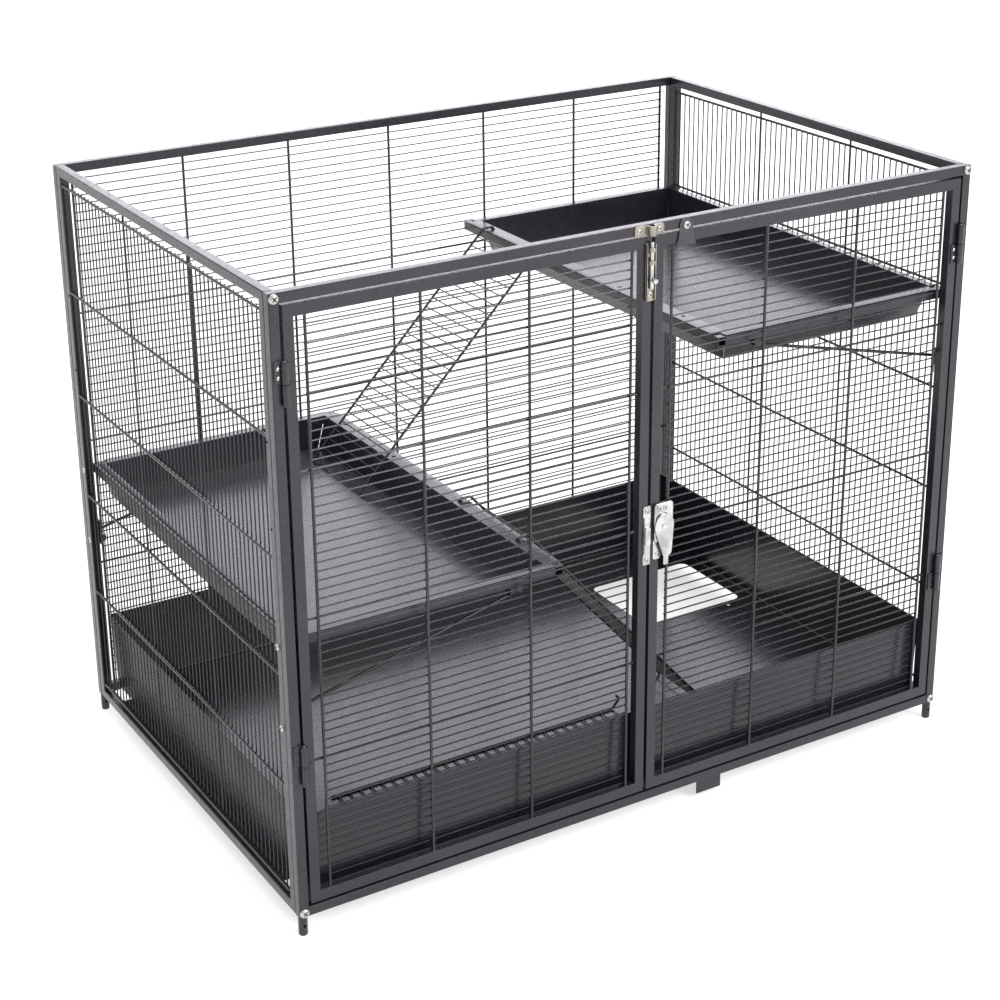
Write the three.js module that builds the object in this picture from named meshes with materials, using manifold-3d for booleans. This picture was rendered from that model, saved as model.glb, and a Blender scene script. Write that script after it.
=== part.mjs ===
// Ferret cage: a frame of square tube closed by wire grilles, with two doors on lift-off
// hinges, two shelves with sheet pans, wire ramps and a deep bottom tray.
// Millimetres, +Z up, doors at -Y. The origin is on the ground under the middle of the frame.
import * as THREE from 'three';
import { mergeVertices } from 'three/addons/utils/BufferGeometryUtils.js';
import Module from 'manifold-3d';

const wasm = await Module();
wasm.setup();

// ---------------------------------------------------------------- driving dimensions
// Frame. Heights count from the underside of the frame.
const frameWidth = 950;
const frameDepth = 630;
const frameHeight = 745;
const tube = 12; // square tube, outside
const tubeEdge = 1; // rounding of the tube's edges
const footDiameter = 11;
const footHeight = 25;
const footHoleDiameter = 4;
const footHoleDrop = 12;

// Clearances
const seat = 0.3; // between pieces that touch
const slip = 0.3; // round a shank or a pin
const past = 1; // a cut runs this far past the face it opens
const screwEnd = 1; // a screw ends this far short of its hole's end

// Wires
const thickWire = 3.5; // uprights of doors and back, outer cross wires of the sides
const crossWire = 3; // longer wires that reach the frame
const thinWire = 2;
const weldBite = 0.4; // how far welded pieces sink into each other
const wireInset = 0.2; // outer wires behind the frame's outer face

// Doors
const doorSideGap = 3;
const doorBottomGap = 3.5;
const doorTopGap = 2.5;
const centreGap = 4;
const doorStile = 12.5;
const doorRail = 13.75;
const doorUprights = 4;
const doorUprightMargin = 13.25; // from stile to the middle of the first upright
const doorWirePitch = 10.85;
const doorWireStart = 3.2;
const doorCrossFirst = 15;
const doorCrossEvery = 16;

// Back grille
const backUprights = 7;
const backUprightMargin = 11;
const backWirePitch = 11.03;
const backWireStart = 9.6;
const backCrossFirst = 16;
const backCrossEvery = 16;

// Side grilles
const sideBars = 6; // level bars on the outside: the first and last carry the thin wires
const sideBarMargin = 10.5; // from rail to the middle of the first bar
const sideWirePitch = 11.2;
const sideWireMargin = 4;
const sideThickPitches = 17; // pitches between the two thicker uprights

// Corner bolts
const boltShank = 5;
const boltHead = 11.5;
const boltHeadHeight = 3.4;
const boltReach = 10; // into the side frame

// Hinges
const barrelDiameter = 8;
const barrelLength = 50;
const hingePin = 4;
const leafThickness = 1.5;
const leafReach = 11.5; // from the axis
const upperHingeDrop = 123; // hinge's underside below the frame's top
const lowerHingeBottom = 172;
const rivetHead = 5;
const rivetHeadHeight = 1.4;
const rivetEdge = 5; // first rivet from the leaf's end
const rivetInset = 4; // from the leaf's long edge
const rivetPitch = 9;

// Shelves. The rim is the top of the pan's lip.
const lowerRim = 345;
const shelfRise = 240; // from the lower rim to the upper one
const shelfFreeEdge = 108; // free edge of the shelf from the cage's middle
const shelfInset = 18; // from the frame's front and back faces
const shelfBar = 12;
const sheet = 1;
const panHeight = 44;
const lipFree = 19; // lip on the free side
const lipWallGap = 5.7; // lip's wall side short of the shelf frame
const freeWallSlope = 14;
const frontWallSlope = 20;
const backWallSlope = 5;
const wallSideSlope = 3;
const lipNotch = 12;
const panSlack = 0.5; // between the pan's walls and the shelf frame
const tubeWall = 1.2; // wall seen at the open ends of the shelf's free bar
const tubeEndDepth = 15;
const rampHoleInset = 11;
const shelfScrewInset = 21; // shelf screws from the frame's front and back faces
const shelfScrewDrop = 7.5; // shelf screw below the rim
const strutScrewDrop = 108;
const screwShank = 4;
const screwHead = 8.5;
const screwHeadHeight = 2.4;
const screwReach = 8; // past the post

// Struts
const strutWire = 4;
const strutFrom = 93; // strut's wall end below the rim
const strutReach = 298; // level length of the strut
const strutTopDrop = 21;
const strutInset = 25; // strut from the frame's front and back faces
const bracketWidth = 13;
const bracketTop = 82;
const bracketBottom = 116;
const bracketThickness = 2.4;
const nutWidth = 11;
const nutReach = 9; // from the post
const lugLength = 16;

// Bottom tray
const traySideGap = 5; // from the side frames
const trayEndGap = 4; // from the front and back frames
const trayRim = 120;
const traySheet = 1.2;
const trayDraft = 4;
const trayCorner = 5;
const trayHem = 1; // the rolled edge stands out this far
const trayHemHeight = 4;
const ledgeReach = 22; // hidden ledge on the side frames, under the tray's floor
const ledgeThickness = 1.6;
const ledgeLength = 500;
const passageWidth = 171;
const passageDepth = 144;
const passageX = 345.5;
const passageY = 127;
const passageCorner = 12;
const hookHolesX = 332.5; // middle between the holes for a ramp's hooks
const hookHolesGap = 10; // from the passage's edge

// Ramps. Each has two rails and level rungs, with hooked upper ends.
const rampWidth = 137; // between the middles of the rails
const rampRail = 3.5;
const rungPitch = 15;
const hookLift = 2; // hook's underside above the lip
const hookOut = 4; // rail's bend outside the lip's edge
const hookTip = 0.6; // hook's tip below the rim, in its hole
const upperRampY = 168.5;
const lowerRampY = -143.5;
const floorRampY = -191.5;
const upperRampFoot = -172;
const lowerRampFoot = 192;
const floorRampEnd = 93;
const floorRampLength = 430;
const curlLength = 16;

// Tower bolt on the left door and its keeper on the frame
const boltX = -4.75;
const boltPlateWidth = 12.5;
const boltPlateLength = 69;
const boltPlateDrop = 6.5; // plate's top below the door's
const boltPlateCorner = 2;
const platesThickness = 1.5;
const rodDiameter = 5;
const rodRise = 15; // rod's lower end above the plate's
const rodTipGap = 8; // tip below the keeper when drawn
const knobRise = 11.5; // above the rod's lower end
const knobDiameter = 7;
const knobReach = 9;
const guideDrops = [22, 7]; // below the plate's top
const guideHeight = 5;
const guideWall = 1.6;
const boltScrewDrops = [61, 17]; // below the plate's top
const keeperSlack = 0.9; // round the rod
const keeperLeftWing = 21.7; // from the rod's middle
const keeperRightWing = 18.3;
const keeperWingScrew = 6; // from the wing's end
const keeperHeight = 10.5;
const keeperTopGap = 1; // below the frame's top
const smallScrewHead = 6;
const smallScrewHeight = 1.4;

// Latch: strike plate on the left door, body and lever on the right door
const strikeWidth = 10.5;
const strikeBottom = 325;
const strikeTop = 400.6;
const strikeCorner = 1.5;
const strikeScrewInset = 6.5;
const strikeHump = 3;
const strikeHumpLength = 24;
const strikeHumpInset = 1.5; // from the plate's long edges
const strikeOverhang = 3.5; // plates past the stile's edge
const latchBottom = 329;
const latchTop = 402;
const latchWidth = 26.5;
const latchDepth = 4.6; // the raised housing behind the lever
const latchStripWidth = 11; // flat strip that hangs from the housing
const latchHouseHeight = 50;
const latchCorner = 3;
const latchEdge = 3.5; // housing's edge from the stile's
const latchPivotX = 18;
const latchPivotLevel = 372;
const latchScrewX = 11.7;
const latchScrewPitch = 8.6;
const latchTopScrewDrop = 6;
const latchLowScrewRise = 7;
const pivotPin = 4;
const pivotCap = 1; // thickness of the cap over the lever
const leverThickness = 2.4;
const leverHalfWidth = 13.6;
const leverHalfHeight = 17;
const tongueX = 20.6;
const tongueWidth = 7;
const tongueLevel = 322;
const tongueCorner = 1;
const tongueLength = 10; // up to the step on its right
const tongueStep = 4.6; // width and height of the step
const flankTop = 6; // right flank's upper end, below the pivot
const flankWaist = 39; // left flank's lower end, below the pivot
const shoulderAngle = 2 * Math.PI / 9; // left end of the head's outline, below level
const leverEdge = 0.5;

// Swing tab over the right door, and the tab under the bottom rail
const tabX = 44;
const tabDrop = 8; // pivot below the frame's top
const tabRound = 9;
const tabWidth = 28;
const tabLength = 24; // from the pivot down
const tabNeck = 0.5; // the flanks' curve starts this far outside the round
const tabFlare = 10; // and bends this far above the foot
const tabThickness = 1.5;
const bottomTabX = 101;
const bottomTabWidth = 37;
const bottomTabDrop = 18;
const bottomTabThickness = 2;

// Facets round a barrel, a screw or its hole, and a single wire
const roundSides = 10;
const screwSides = 8;
const wireSides = 6;
const headCrown = 0.68; // flat crown of a domed head, against its width

// ---------------------------------------------------------------- worked out from these
const halfWidth = frameWidth / 2;
const halfDepth = frameDepth / 2;
const sideHalfDepth = halfDepth - tube - seat;
const innerHalfWidth = halfWidth - tube;
const innerTop = frameHeight - tube;
const frontFace = -halfDepth;
const postMiddle = halfWidth - tube / 2;
const doorOuter = innerHalfWidth - doorSideGap;
const doorInner = centreGap / 2;
const doorBottom = tube + doorBottomGap;
const doorTop = innerTop - doorTopGap;
const thinPlane = thickWire + seat; // outer side of the thin wires, from the thick wires' face
const endBarPlane = thinPlane + thinWire + weldBite / 2 - thickWire; // of a grille's end bars
const hingeX = innerHalfWidth - doorSideGap / 2;
const hingeY = frontFace - barrelDiameter / 2;
const barFace = innerHalfWidth - seat; // wall-side face of the shelf frames
const upperRim = lowerRim + shelfRise;
const shelfScrewY = halfDepth - shelfScrewInset;
const rodY = frontFace - platesThickness - seat - rodDiameter / 2;
const keeperTop = frameHeight - keeperTopGap;
const keeperBottom = keeperTop - keeperHeight;
const boltPlateTop = doorTop - boltPlateDrop;
const boltPlateBottom = boltPlateTop - boltPlateLength;
const rodBottom = boltPlateBottom + rodRise;
const upperHingeBottom = frameHeight - upperHingeDrop;
const tabLevel = frameHeight - tabDrop;
const tabBottom = tabLevel - tabLength;
const trayFloorUnder = tube; // the tray's floor is level with the rails' top
const rampHoleLevels = [upperRampY, lowerRampY].flatMap(
  (y) => [y - rampWidth / 2, y + rampWidth / 2],
);

// ---------------------------------------------------------------- materials
function paint(color, roughness, metalness) {
  return new THREE.MeshStandardMaterial({ color, roughness, metalness });
}
const framePaint = paint(0x4b4a4d, 0.5, 0.4);
const wirePaint = paint(0x3f3e42, 0.45, 0.4);
const panFinish = paint(0x34343a, 0.25, 0.3);
const zinc = paint(0xc9cacb, 0.3, 0.9);
const chrome = paint(0xd8d8da, 0.12, 1.0);

// ---------------------------------------------------------------- solids
// A closed three.js geometry as a solid for joining and cutting.
function solid(geometry) {
  const bare = geometry.clone();
  bare.deleteAttribute('normal');
  bare.deleteAttribute('uv');
  const merged = mergeVertices(bare, 1e-4);
  return new wasm.Manifold(new wasm.Mesh({
    numProp: 3,
    vertProperties: Float32Array.from(merged.attributes.position.array),
    triVerts: Uint32Array.from(merged.index.array),
  }));
}

// A solid back as a geometry that a mesh can hold.
function geometryOf(body) {
  const mesh = body.getMesh();
  const geometry = new THREE.BufferGeometry();
  geometry.setAttribute('position', new THREE.BufferAttribute(mesh.vertProperties, 3));
  geometry.setIndex(new THREE.BufferAttribute(mesh.triVerts, 1));
  geometry.computeVertexNormals();
  return geometry;
}

function join(...bodies) {
  return bodies.flat().reduce((whole, body) => whole.add(body));
}

function cut(body, ...tools) {
  return tools.flat().reduce((rest, tool) => rest.subtract(tool), body);
}

// The same solid on the other side of the cage's middle plane.
function mirrored(body) {
  const geometry = geometryOf(body).toNonIndexed();
  const position = geometry.attributes.position;
  for (let corner = 0; corner < position.count; corner += 3) {
    const [x, y, z] = [position.getX(corner), position.getY(corner), position.getZ(corner)];
    const next = corner + 1;
    position.setXYZ(corner, position.getX(next), position.getY(next), position.getZ(next));
    position.setXYZ(next, x, y, z);
  }
  geometry.scale(-1, 1, 1);
  return solid(geometry);
}

function box([x0, x1], [y0, y1], [z0, z1]) {
  const geometry = new THREE.BoxGeometry(x1 - x0, y1 - y0, z1 - z0);
  geometry.translate((x0 + x1) / 2, (y0 + y1) / 2, (z0 + z1) / 2);
  return solid(geometry);
}

// A round bar from one point to another.
function rod(from, to, diameter, sides = roundSides) {
  const start = new THREE.Vector3(...from);
  const end = new THREE.Vector3(...to);
  const along = end.clone().sub(start);
  const geometry = new THREE.CylinderGeometry(
    diameter / 2, diameter / 2, along.length(), sides,
  );
  const up = new THREE.Vector3(0, 1, 0);
  geometry.applyQuaternion(
    new THREE.Quaternion().setFromUnitVectors(up, along.clone().normalize()),
  );
  const middle = start.add(end).multiplyScalar(0.5);
  geometry.translate(middle.x, middle.y, middle.z);
  return solid(geometry);
}

// A bent rail through (x, z) points at one depth, rounded at its bends.
function bentRail(points, y, size) {
  const runs = points.slice(1).map(([x1, z1], index) => {
    const [x0, z0] = points[index];
    const run = new THREE.BoxGeometry(Math.hypot(x1 - x0, z1 - z0), size, size);
    run.rotateY(-Math.atan2(z1 - z0, x1 - x0));
    run.translate((x0 + x1) / 2, y, (z0 + z1) / 2);
    return solid(run);
  });
  const bends = points.slice(1, -1).map(
    ([x, z]) => rod([x, y - size / 2, z], [x, y + size / 2, z], size, screwSides),
  );
  return join(runs, bends);
}

// A flat outline in x and z, as a plate between two depths in y.
function plate(shape, [y0, y1], edge = 0) {
  const geometry = new THREE.ExtrudeGeometry(shape, {
    depth: y1 - y0 - 2 * edge,
    bevelEnabled: edge > 0,
    bevelThickness: edge,
    bevelSize: edge,
    bevelOffset: -edge,
    bevelSegments: 1,
    curveSegments: 5,
  });
  geometry.rotateX(Math.PI / 2);
  geometry.translate(0, y1 - edge, 0);
  return solid(geometry);
}

// An outline in x and y, as a slab between two heights.
function slab(shape, [z0, z1], edge = 0) {
  const geometry = new THREE.ExtrudeGeometry(shape, {
    depth: z1 - z0 - 2 * edge,
    bevelEnabled: edge > 0,
    bevelThickness: edge,
    bevelSize: edge,
    bevelOffset: -edge,
    bevelSegments: 1,
    curveSegments: 4,
  });
  geometry.translate(0, 0, z0 + edge);
  return solid(geometry);
}

function rectangle([u0, u1], [v0, v1]) {
  return new THREE.Shape([
    new THREE.Vector2(u0, v0),
    new THREE.Vector2(u1, v0),
    new THREE.Vector2(u1, v1),
    new THREE.Vector2(u0, v1),
  ]);
}

function roundedRectangle([u0, u1], [v0, v1], radius) {
  const shape = new THREE.Shape();
  shape.moveTo(u0 + radius, v0);
  shape.lineTo(u1 - radius, v0);
  shape.absarc(u1 - radius, v0 + radius, radius, -Math.PI / 2, 0);
  shape.lineTo(u1, v1 - radius);
  shape.absarc(u1 - radius, v1 - radius, radius, 0, Math.PI / 2);
  shape.lineTo(u0 + radius, v1);
  shape.absarc(u0 + radius, v1 - radius, radius, Math.PI / 2, Math.PI);
  shape.lineTo(u0, v0 + radius);
  shape.absarc(u0 + radius, v0 + radius, radius, Math.PI, 1.5 * Math.PI);
  return shape;
}

// A rectangular ring: the outline of a frame seen face on.
function ringShape(outerU, outerV, innerU, innerV) {
  const shape = rectangle(outerU, outerV);
  shape.holes.push(rectangle(innerU, innerV));
  return shape;
}

// A block whose walls lean: one rectangle at the bottom and one at the top.
function taperedBlock(low, high, [z0, z1], radius) {
  const shape = radius > 0
    ? roundedRectangle([-1, 1], [-1, 1], 0.5)
    : rectangle([-1, 1], [-1, 1]);
  const geometry = new THREE.ExtrudeGeometry(shape, {
    depth: 1,
    bevelEnabled: false,
    curveSegments: 2,
  });
  const position = geometry.attributes.position;
  const place = (value, [from, to]) => {
    const middle = (from + to) / 2;
    const half = (to - from) / 2;
    const bent = Math.max(0, Math.abs(value) - 0.5) * 2 * radius;
    return middle + Math.sign(value) * (half - radius + bent);
  };
  for (let corner = 0; corner < position.count; corner += 1) {
    const top = position.getZ(corner) > 0.5;
    const [spanX, spanY] = top ? high : low;
    position.setXYZ(
      corner,
      place(position.getX(corner), spanX),
      place(position.getY(corner), spanY),
      top ? z1 : z0,
    );
  }
  return solid(geometry);
}

// A domed head with its shank, turned about the y axis with its head at -y.
function screwGeometry(head, headHeight, shank, length) {
  const profile = [
    [0, -headHeight],
    [headCrown * head / 2, -headHeight],
    [head / 2, 0],
    [shank / 2, 0],
    [shank / 2, length],
    [0, length],
  ].map(([radius, along]) => new THREE.Vector2(radius, along));
  return solid(new THREE.LatheGeometry(profile, screwSides));
}

// A low round head that stands on a plate's outer face.
function headOn(x, y, z, diameter, height) {
  const dome = new THREE.CylinderGeometry(
    diameter / 2, headCrown * diameter / 2, height + weldBite, screwSides,
  );
  dome.translate(x, y + (weldBite - height) / 2, z);
  return solid(dome);
}

// ---------------------------------------------------------------- wire grilles
// A ladder of thin wires between two bars, with some longer wires that reach the frame.
// Wires run along x and bars along z; face is the outer side of the bars in y.
function ladder({ face, bars, barSpan, levels, crossLevels, crossSpan }) {
  const half = thickWire / 2;
  const barDepth = [face + endBarPlane, face + endBarPlane + thickWire];
  const uprights = bars.map((x) => box([x - half, x + half], barDepth, barSpan));
  const wires = levels.map((z) => {
    const long = crossLevels.includes(z);
    const size = long ? crossWire : thinWire;
    const depth = [face + thinPlane, face + thinPlane + size];
    return box(long ? crossSpan : bars, depth, [z - size / 2, z + size / 2]);
  });
  return join(uprights, wires);
}

function evenly(from, to, count) {
  return Array.from({ length: count }, (_, index) => from + (to - from) * index / (count - 1));
}

// Levels of the thin wires, counted from one rail towards the other.
function wireLevels(from, to, start, pitch) {
  const room = Math.abs(to - from) - 2 * start;
  const count = Math.floor(room / pitch) + 1;
  const step = Math.sign(to - from) * pitch;
  const first = from + Math.sign(to - from) * start;
  return Array.from({ length: count }, (_, index) => first + index * step);
}

function everyOf(levels, first, every) {
  return levels.filter((_, index) => index >= first && (index - first) % every === 0);
}

// ---------------------------------------------------------------- frame panels
// Each panel is drawn like the front one, with its outer face at -y, and then turned.
function panelRing(half, face) {
  const shape = ringShape(
    [-half, half], [0, frameHeight],
    [-half + tube, half - tube], [tube, innerTop],
  );
  return plate(shape, [face, face + tube], tubeEdge);
}

function boltLevels() {
  return [tube / 2, frameHeight - tube / 2];
}

function boltHoles(face) {
  return boltLevels().flatMap((z) => [-postMiddle, postMiddle].map((x) => rod(
    [x, face - past, z], [x, face + tube + past, z], boltShank + 2 * slip, screwSides,
  )));
}

function frontFrame() {
  const tabHole = rod(
    [tabX, frontFace - past, tabLevel],
    [tabX, frontFace + screwReach + slip, tabLevel],
    screwShank + 2 * slip, screwSides,
  );
  return cut(panelRing(halfWidth, frontFace), boltHoles(frontFace), tabHole);
}

function backUprightPlaces() {
  const last = innerHalfWidth - backUprightMargin;
  return evenly(-last, last, backUprights);
}

function uprightWire(x, face, [bottom, top]) {
  const y = face + wireInset + thickWire / 2;
  return rod([x, y, bottom - tubeEdge], [x, y, top + tubeEdge], thickWire, wireSides);
}

function backFrame() {
  const wires = backUprightPlaces().slice(1, -1).map(
    (x) => uprightWire(x, frontFace, [tube, innerTop]),
  );
  return join(cut(panelRing(halfWidth, frontFace), boltHoles(frontFace)), wires);
}

function backGrille() {
  const places = backUprightPlaces();
  const levels = wireLevels(innerTop, tube, backWireStart, backWirePitch);
  return ladder({
    face: frontFace + wireInset,
    bars: [places[0], places[places.length - 1]],
    barSpan: [tube + seat, innerTop - seat],
    levels,
    crossLevels: everyOf(levels, backCrossFirst, backCrossEvery),
    crossSpan: [-innerHalfWidth + seat, innerHalfWidth - seat],
  });
}

function sideBarLevels() {
  const first = tube + sideBarMargin;
  return evenly(first, frameHeight - first, sideBars);
}

function sideFrame() {
  const face = -halfWidth;
  const inner = sideHalfDepth - tube;
  const wireY = face + wireInset + thickWire / 2;
  const bars = sideBarLevels().slice(1, -1).map((z) => rod(
    [-inner - tubeEdge, wireY, z], [inner + tubeEdge, wireY, z], thickWire, wireSides,
  ));
  const ledgeTop = trayFloorUnder - seat;
  const ledge = box(
    [-ledgeLength / 2, ledgeLength / 2],
    [face + tube - 2 * tubeEdge, face + tube + ledgeReach],
    [ledgeTop - ledgeThickness, ledgeTop],
  );
  const ends = boltLevels().flatMap((z) => [-1, 1].map((end) => rod(
    [end * (sideHalfDepth + past), face + tube / 2, z],
    [end * (sideHalfDepth - boltReach - slip), face + tube / 2, z],
    boltShank + 2 * slip, screwSides,
  )));
  const screwHoles = [upperRim, lowerRim].flatMap(
    (rim) => [rim - shelfScrewDrop, rim - strutScrewDrop],
  ).flatMap((z) => [-shelfScrewY, shelfScrewY].map((x) => rod(
    [x, face - past, z], [x, face + tube + past, z], screwShank + 2 * slip, screwSides,
  )));
  return join(cut(panelRing(sideHalfDepth, face), ends, screwHoles), bars, ledge);
}

// The side grille is the ladder on its side: its wires stand and its bars lie level.
function sideGrille() {
  const bars = sideBarLevels();
  const room = sideHalfDepth - tube - sideWireMargin;
  const pairs = Math.floor((room - sideWirePitch / 2) / sideWirePitch) + 1;
  const last = (pairs - 0.5) * sideWirePitch;
  const places = evenly(-last, last, 2 * pairs);
  const outer = last + thickWire / 2;
  const thick = pairs - (sideThickPitches + 1) / 2;
  const body = ladder({
    face: -halfWidth + wireInset,
    bars: [bars[0], bars[bars.length - 1]],
    barSpan: [-outer, outer],
    levels: places,
    crossLevels: [places[thick], places[places.length - 1 - thick]],
    crossSpan: [tube + seat, innerTop - seat],
  });
  const geometry = geometryOf(body);
  geometry.rotateY(-Math.PI / 2);
  return solid(geometry);
}

function foot() {
  const peg = rod([0, 0, -footHeight], [0, 0, 0], footDiameter);
  const hole = rod(
    [0, -footDiameter, -footHoleDrop], [0, footDiameter, -footHoleDrop],
    footHoleDiameter, screwSides,
  );
  return cut(peg, hole);
}

// ---------------------------------------------------------------- doors
// Drawn as the right door; the left one is its mirror image.
const doorSpan = [doorInner + doorStile, doorOuter - doorStile];
const doorOpening = [doorBottom + doorRail, doorTop - doorRail];

function doorUprightPlaces() {
  const [left, right] = doorSpan;
  return evenly(left + doorUprightMargin, right - doorUprightMargin, doorUprights);
}

function doorFrame() {
  const shape = ringShape([doorInner, doorOuter], [doorBottom, doorTop], doorSpan, doorOpening);
  const wires = doorUprightPlaces().slice(1, -1).map(
    (x) => uprightWire(x, frontFace, doorOpening),
  );
  return join(plate(shape, [frontFace, frontFace + tube], tubeEdge), wires);
}

function doorGrille() {
  const places = doorUprightPlaces();
  const levels = wireLevels(doorOpening[0], doorOpening[1], doorWireStart, doorWirePitch);
  return ladder({
    face: frontFace + wireInset,
    bars: [places[0], places[places.length - 1]],
    barSpan: [doorOpening[0] + seat, doorOpening[1] - seat],
    levels,
    crossLevels: everyOf(levels, doorCrossFirst, doorCrossEvery),
    crossSpan: [doorSpan[0] + seat, doorSpan[1] - seat],
  });
}

// ---------------------------------------------------------------- hinges
// Drawn round the hinge's axis: the fixed leaf lies towards +x and the door's towards -x.
const knuckle = barrelLength / 2 - seat / 2;
const leafY = [barrelDiameter / 2 - leafThickness, barrelDiameter / 2];

function rivets(side, direction) {
  return [rivetEdge, rivetEdge + rivetPitch].map((away) => headOn(
    side * (leafReach - rivetInset), leafY[0],
    barrelLength / 2 + direction * away, rivetHead, rivetHeadHeight,
  ));
}

function hingeFrameLeaf() {
  const low = barrelLength - knuckle;
  const barrel = rod([0, 0, low], [0, 0, barrelLength], barrelDiameter);
  const pin = rod([0, 0, 2 * seat], [0, 0, barrelLength - knuckle / 2], hingePin);
  const leaf = box([0, leafReach], leafY, [low, barrelLength]);
  return join(barrel, pin, leaf, rivets(1, 1));
}

function hingeDoorLeaf() {
  const barrel = rod([0, 0, 0], [0, 0, knuckle], barrelDiameter);
  const leaf = box([-leafReach, 0], leafY, [0, knuckle]);
  const bore = rod([0, 0, -past], [0, 0, knuckle + past], hingePin + 2 * slip);
  return cut(join(barrel, leaf, rivets(-1, -1)), bore);
}

// ---------------------------------------------------------------- tower bolt
const keeperInside = rodDiameter / 2 + keeperSlack;

function boltPlate() {
  const half = boltPlateWidth / 2;
  const outline = roundedRectangle(
    [boltX - half, boltX + half], [boltPlateBottom, boltPlateTop], boltPlateCorner,
  );
  const face = frontFace - platesThickness;
  const inside = rodDiameter / 2 + slip;
  const guides = guideDrops.map((drop) => box(
    [boltX - inside - guideWall, boltX + inside + guideWall],
    [rodY - inside - guideWall, face + weldBite],
    [boltPlateTop - drop - guideHeight / 2, boltPlateTop - drop + guideHeight / 2],
  ));
  const bore = rod(
    [boltX, rodY, boltPlateBottom], [boltX, rodY, boltPlateTop + past], 2 * inside,
  );
  const heads = boltScrewDrops.map(
    (drop) => headOn(boltX, face, boltPlateTop - drop, smallScrewHead, smallScrewHeight),
  );
  return cut(join(plate(outline, [face, frontFace]), guides, heads), bore);
}

function boltRod() {
  const bar = rod([boltX, rodY, rodBottom], [boltX, rodY, keeperBottom - rodTipGap], rodDiameter);
  const level = rodBottom + knobRise;
  const knob = rod([boltX, rodY, level], [boltX, rodY - knobReach, level], knobDiameter);
  return join(bar, knob);
}

// A strap bent over the rod, with a flat wing and a screw on each side.
function boltKeeper() {
  const outer = keeperInside + platesThickness;
  const face = frontFace - platesThickness;
  const [keeperLeft, keeperRight] = [boltX - keeperLeftWing, boltX + keeperRightWing];
  const shape = new THREE.Shape();
  shape.moveTo(keeperLeft, frontFace);
  shape.lineTo(keeperLeft, face);
  shape.lineTo(boltX - outer, face);
  shape.absarc(boltX, rodY, outer, Math.PI, 2 * Math.PI, false);
  shape.lineTo(boltX + outer, face);
  shape.lineTo(keeperRight, face);
  shape.lineTo(keeperRight, frontFace);
  shape.lineTo(boltX + keeperInside, frontFace);
  shape.absarc(boltX, rodY, keeperInside, 2 * Math.PI, Math.PI, true);
  shape.lineTo(boltX - keeperInside, frontFace);
  const level = (keeperBottom + keeperTop) / 2;
  const heads = [keeperLeft + keeperWingScrew, keeperRight - keeperWingScrew].map(
    (x) => headOn(x, face, level, smallScrewHead, smallScrewHeight),
  );
  return join(slab(shape, [keeperBottom, keeperTop]), heads);
}

// ---------------------------------------------------------------- latch
const latchFace = frontFace - latchDepth;
const leverBack = latchFace - seat;
const leverFront = leverBack - leverThickness;

function strikePlate() {
  const right = -doorInner + strikeOverhang;
  const left = right - strikeWidth;
  const face = frontFace - platesThickness;
  const middle = (left + right) / 2;
  const outline = roundedRectangle([left, right], [strikeBottom, strikeTop], strikeCorner);
  const level = (strikeBottom + strikeTop) / 2;
  const hump = box(
    [left + strikeHumpInset, right - strikeHumpInset], [face - strikeHump, face + weldBite],
    [level - strikeHumpLength / 2, level + strikeHumpLength / 2],
  );
  const heads = [strikeBottom + strikeScrewInset, strikeTop - strikeScrewInset].map(
    (z) => headOn(middle, face, z, smallScrewHead, smallScrewHeight),
  );
  return join(plate(outline, [face, frontFace]), hump, heads);
}

// A raised housing across the stile, with a flat strip hanging from its left side.
function latchBody() {
  const left = doorInner + latchEdge;
  const stripFace = frontFace - platesThickness;
  const house = roundedRectangle(
    [left, left + latchWidth], [latchTop - latchHouseHeight, latchTop], latchCorner,
  );
  const strip = roundedRectangle(
    [left, left + latchStripWidth], [latchBottom, latchPivotLevel], latchCorner,
  );
  const capBack = leverFront - seat;
  const pin = rod(
    [latchPivotX, latchFace + weldBite, latchPivotLevel],
    [latchPivotX, capBack - pivotCap / 2, latchPivotLevel], pivotPin,
  );
  const cap = headOn(latchPivotX, capBack - weldBite, latchPivotLevel, 2 * pivotPin, pivotCap);
  const heads = [
    [latchScrewX, latchFace, latchTop - latchTopScrewDrop],
    [latchScrewX + latchScrewPitch, latchFace, latchTop - latchTopScrewDrop],
    [latchScrewX, stripFace, latchBottom + latchLowScrewRise],
  ].map(([x, face, z]) => headOn(x, face, z, smallScrewHead, smallScrewHeight));
  return join(
    plate(house, [latchFace, frontFace]), plate(strip, [stripFace, frontFace]), pin, cap, heads,
  );
}

// Round head that narrows to a hanging tongue, slanting on the left and in a step on the right.
function latchLever() {
  const shape = new THREE.Shape();
  const right = tongueX + tongueWidth / 2;
  const left = tongueX - tongueWidth / 2;
  const step = tongueLevel + tongueLength;
  shape.moveTo(left, tongueLevel + tongueCorner);
  shape.lineTo(left + tongueCorner, tongueLevel);
  shape.lineTo(right - tongueCorner, tongueLevel);
  shape.lineTo(right, tongueLevel + tongueCorner);
  shape.lineTo(right, step);
  shape.lineTo(right + tongueStep, step + tongueStep);
  shape.lineTo(latchPivotX + leverHalfWidth, latchPivotLevel - flankTop);
  shape.absellipse(
    latchPivotX, latchPivotLevel, leverHalfWidth, leverHalfHeight,
    0, Math.PI + shoulderAngle, false, 0,
  );
  shape.lineTo(left, latchPivotLevel - flankWaist);
  const hole = new THREE.Path();
  hole.absarc(latchPivotX, latchPivotLevel, pivotPin / 2 + slip, 0, 2 * Math.PI, true);
  shape.holes.push(hole);
  return plate(shape, [leverFront, leverBack], leverEdge);
}

// ---------------------------------------------------------------- tabs on the front frame
const tabBack = frontFace - seat;

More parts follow.
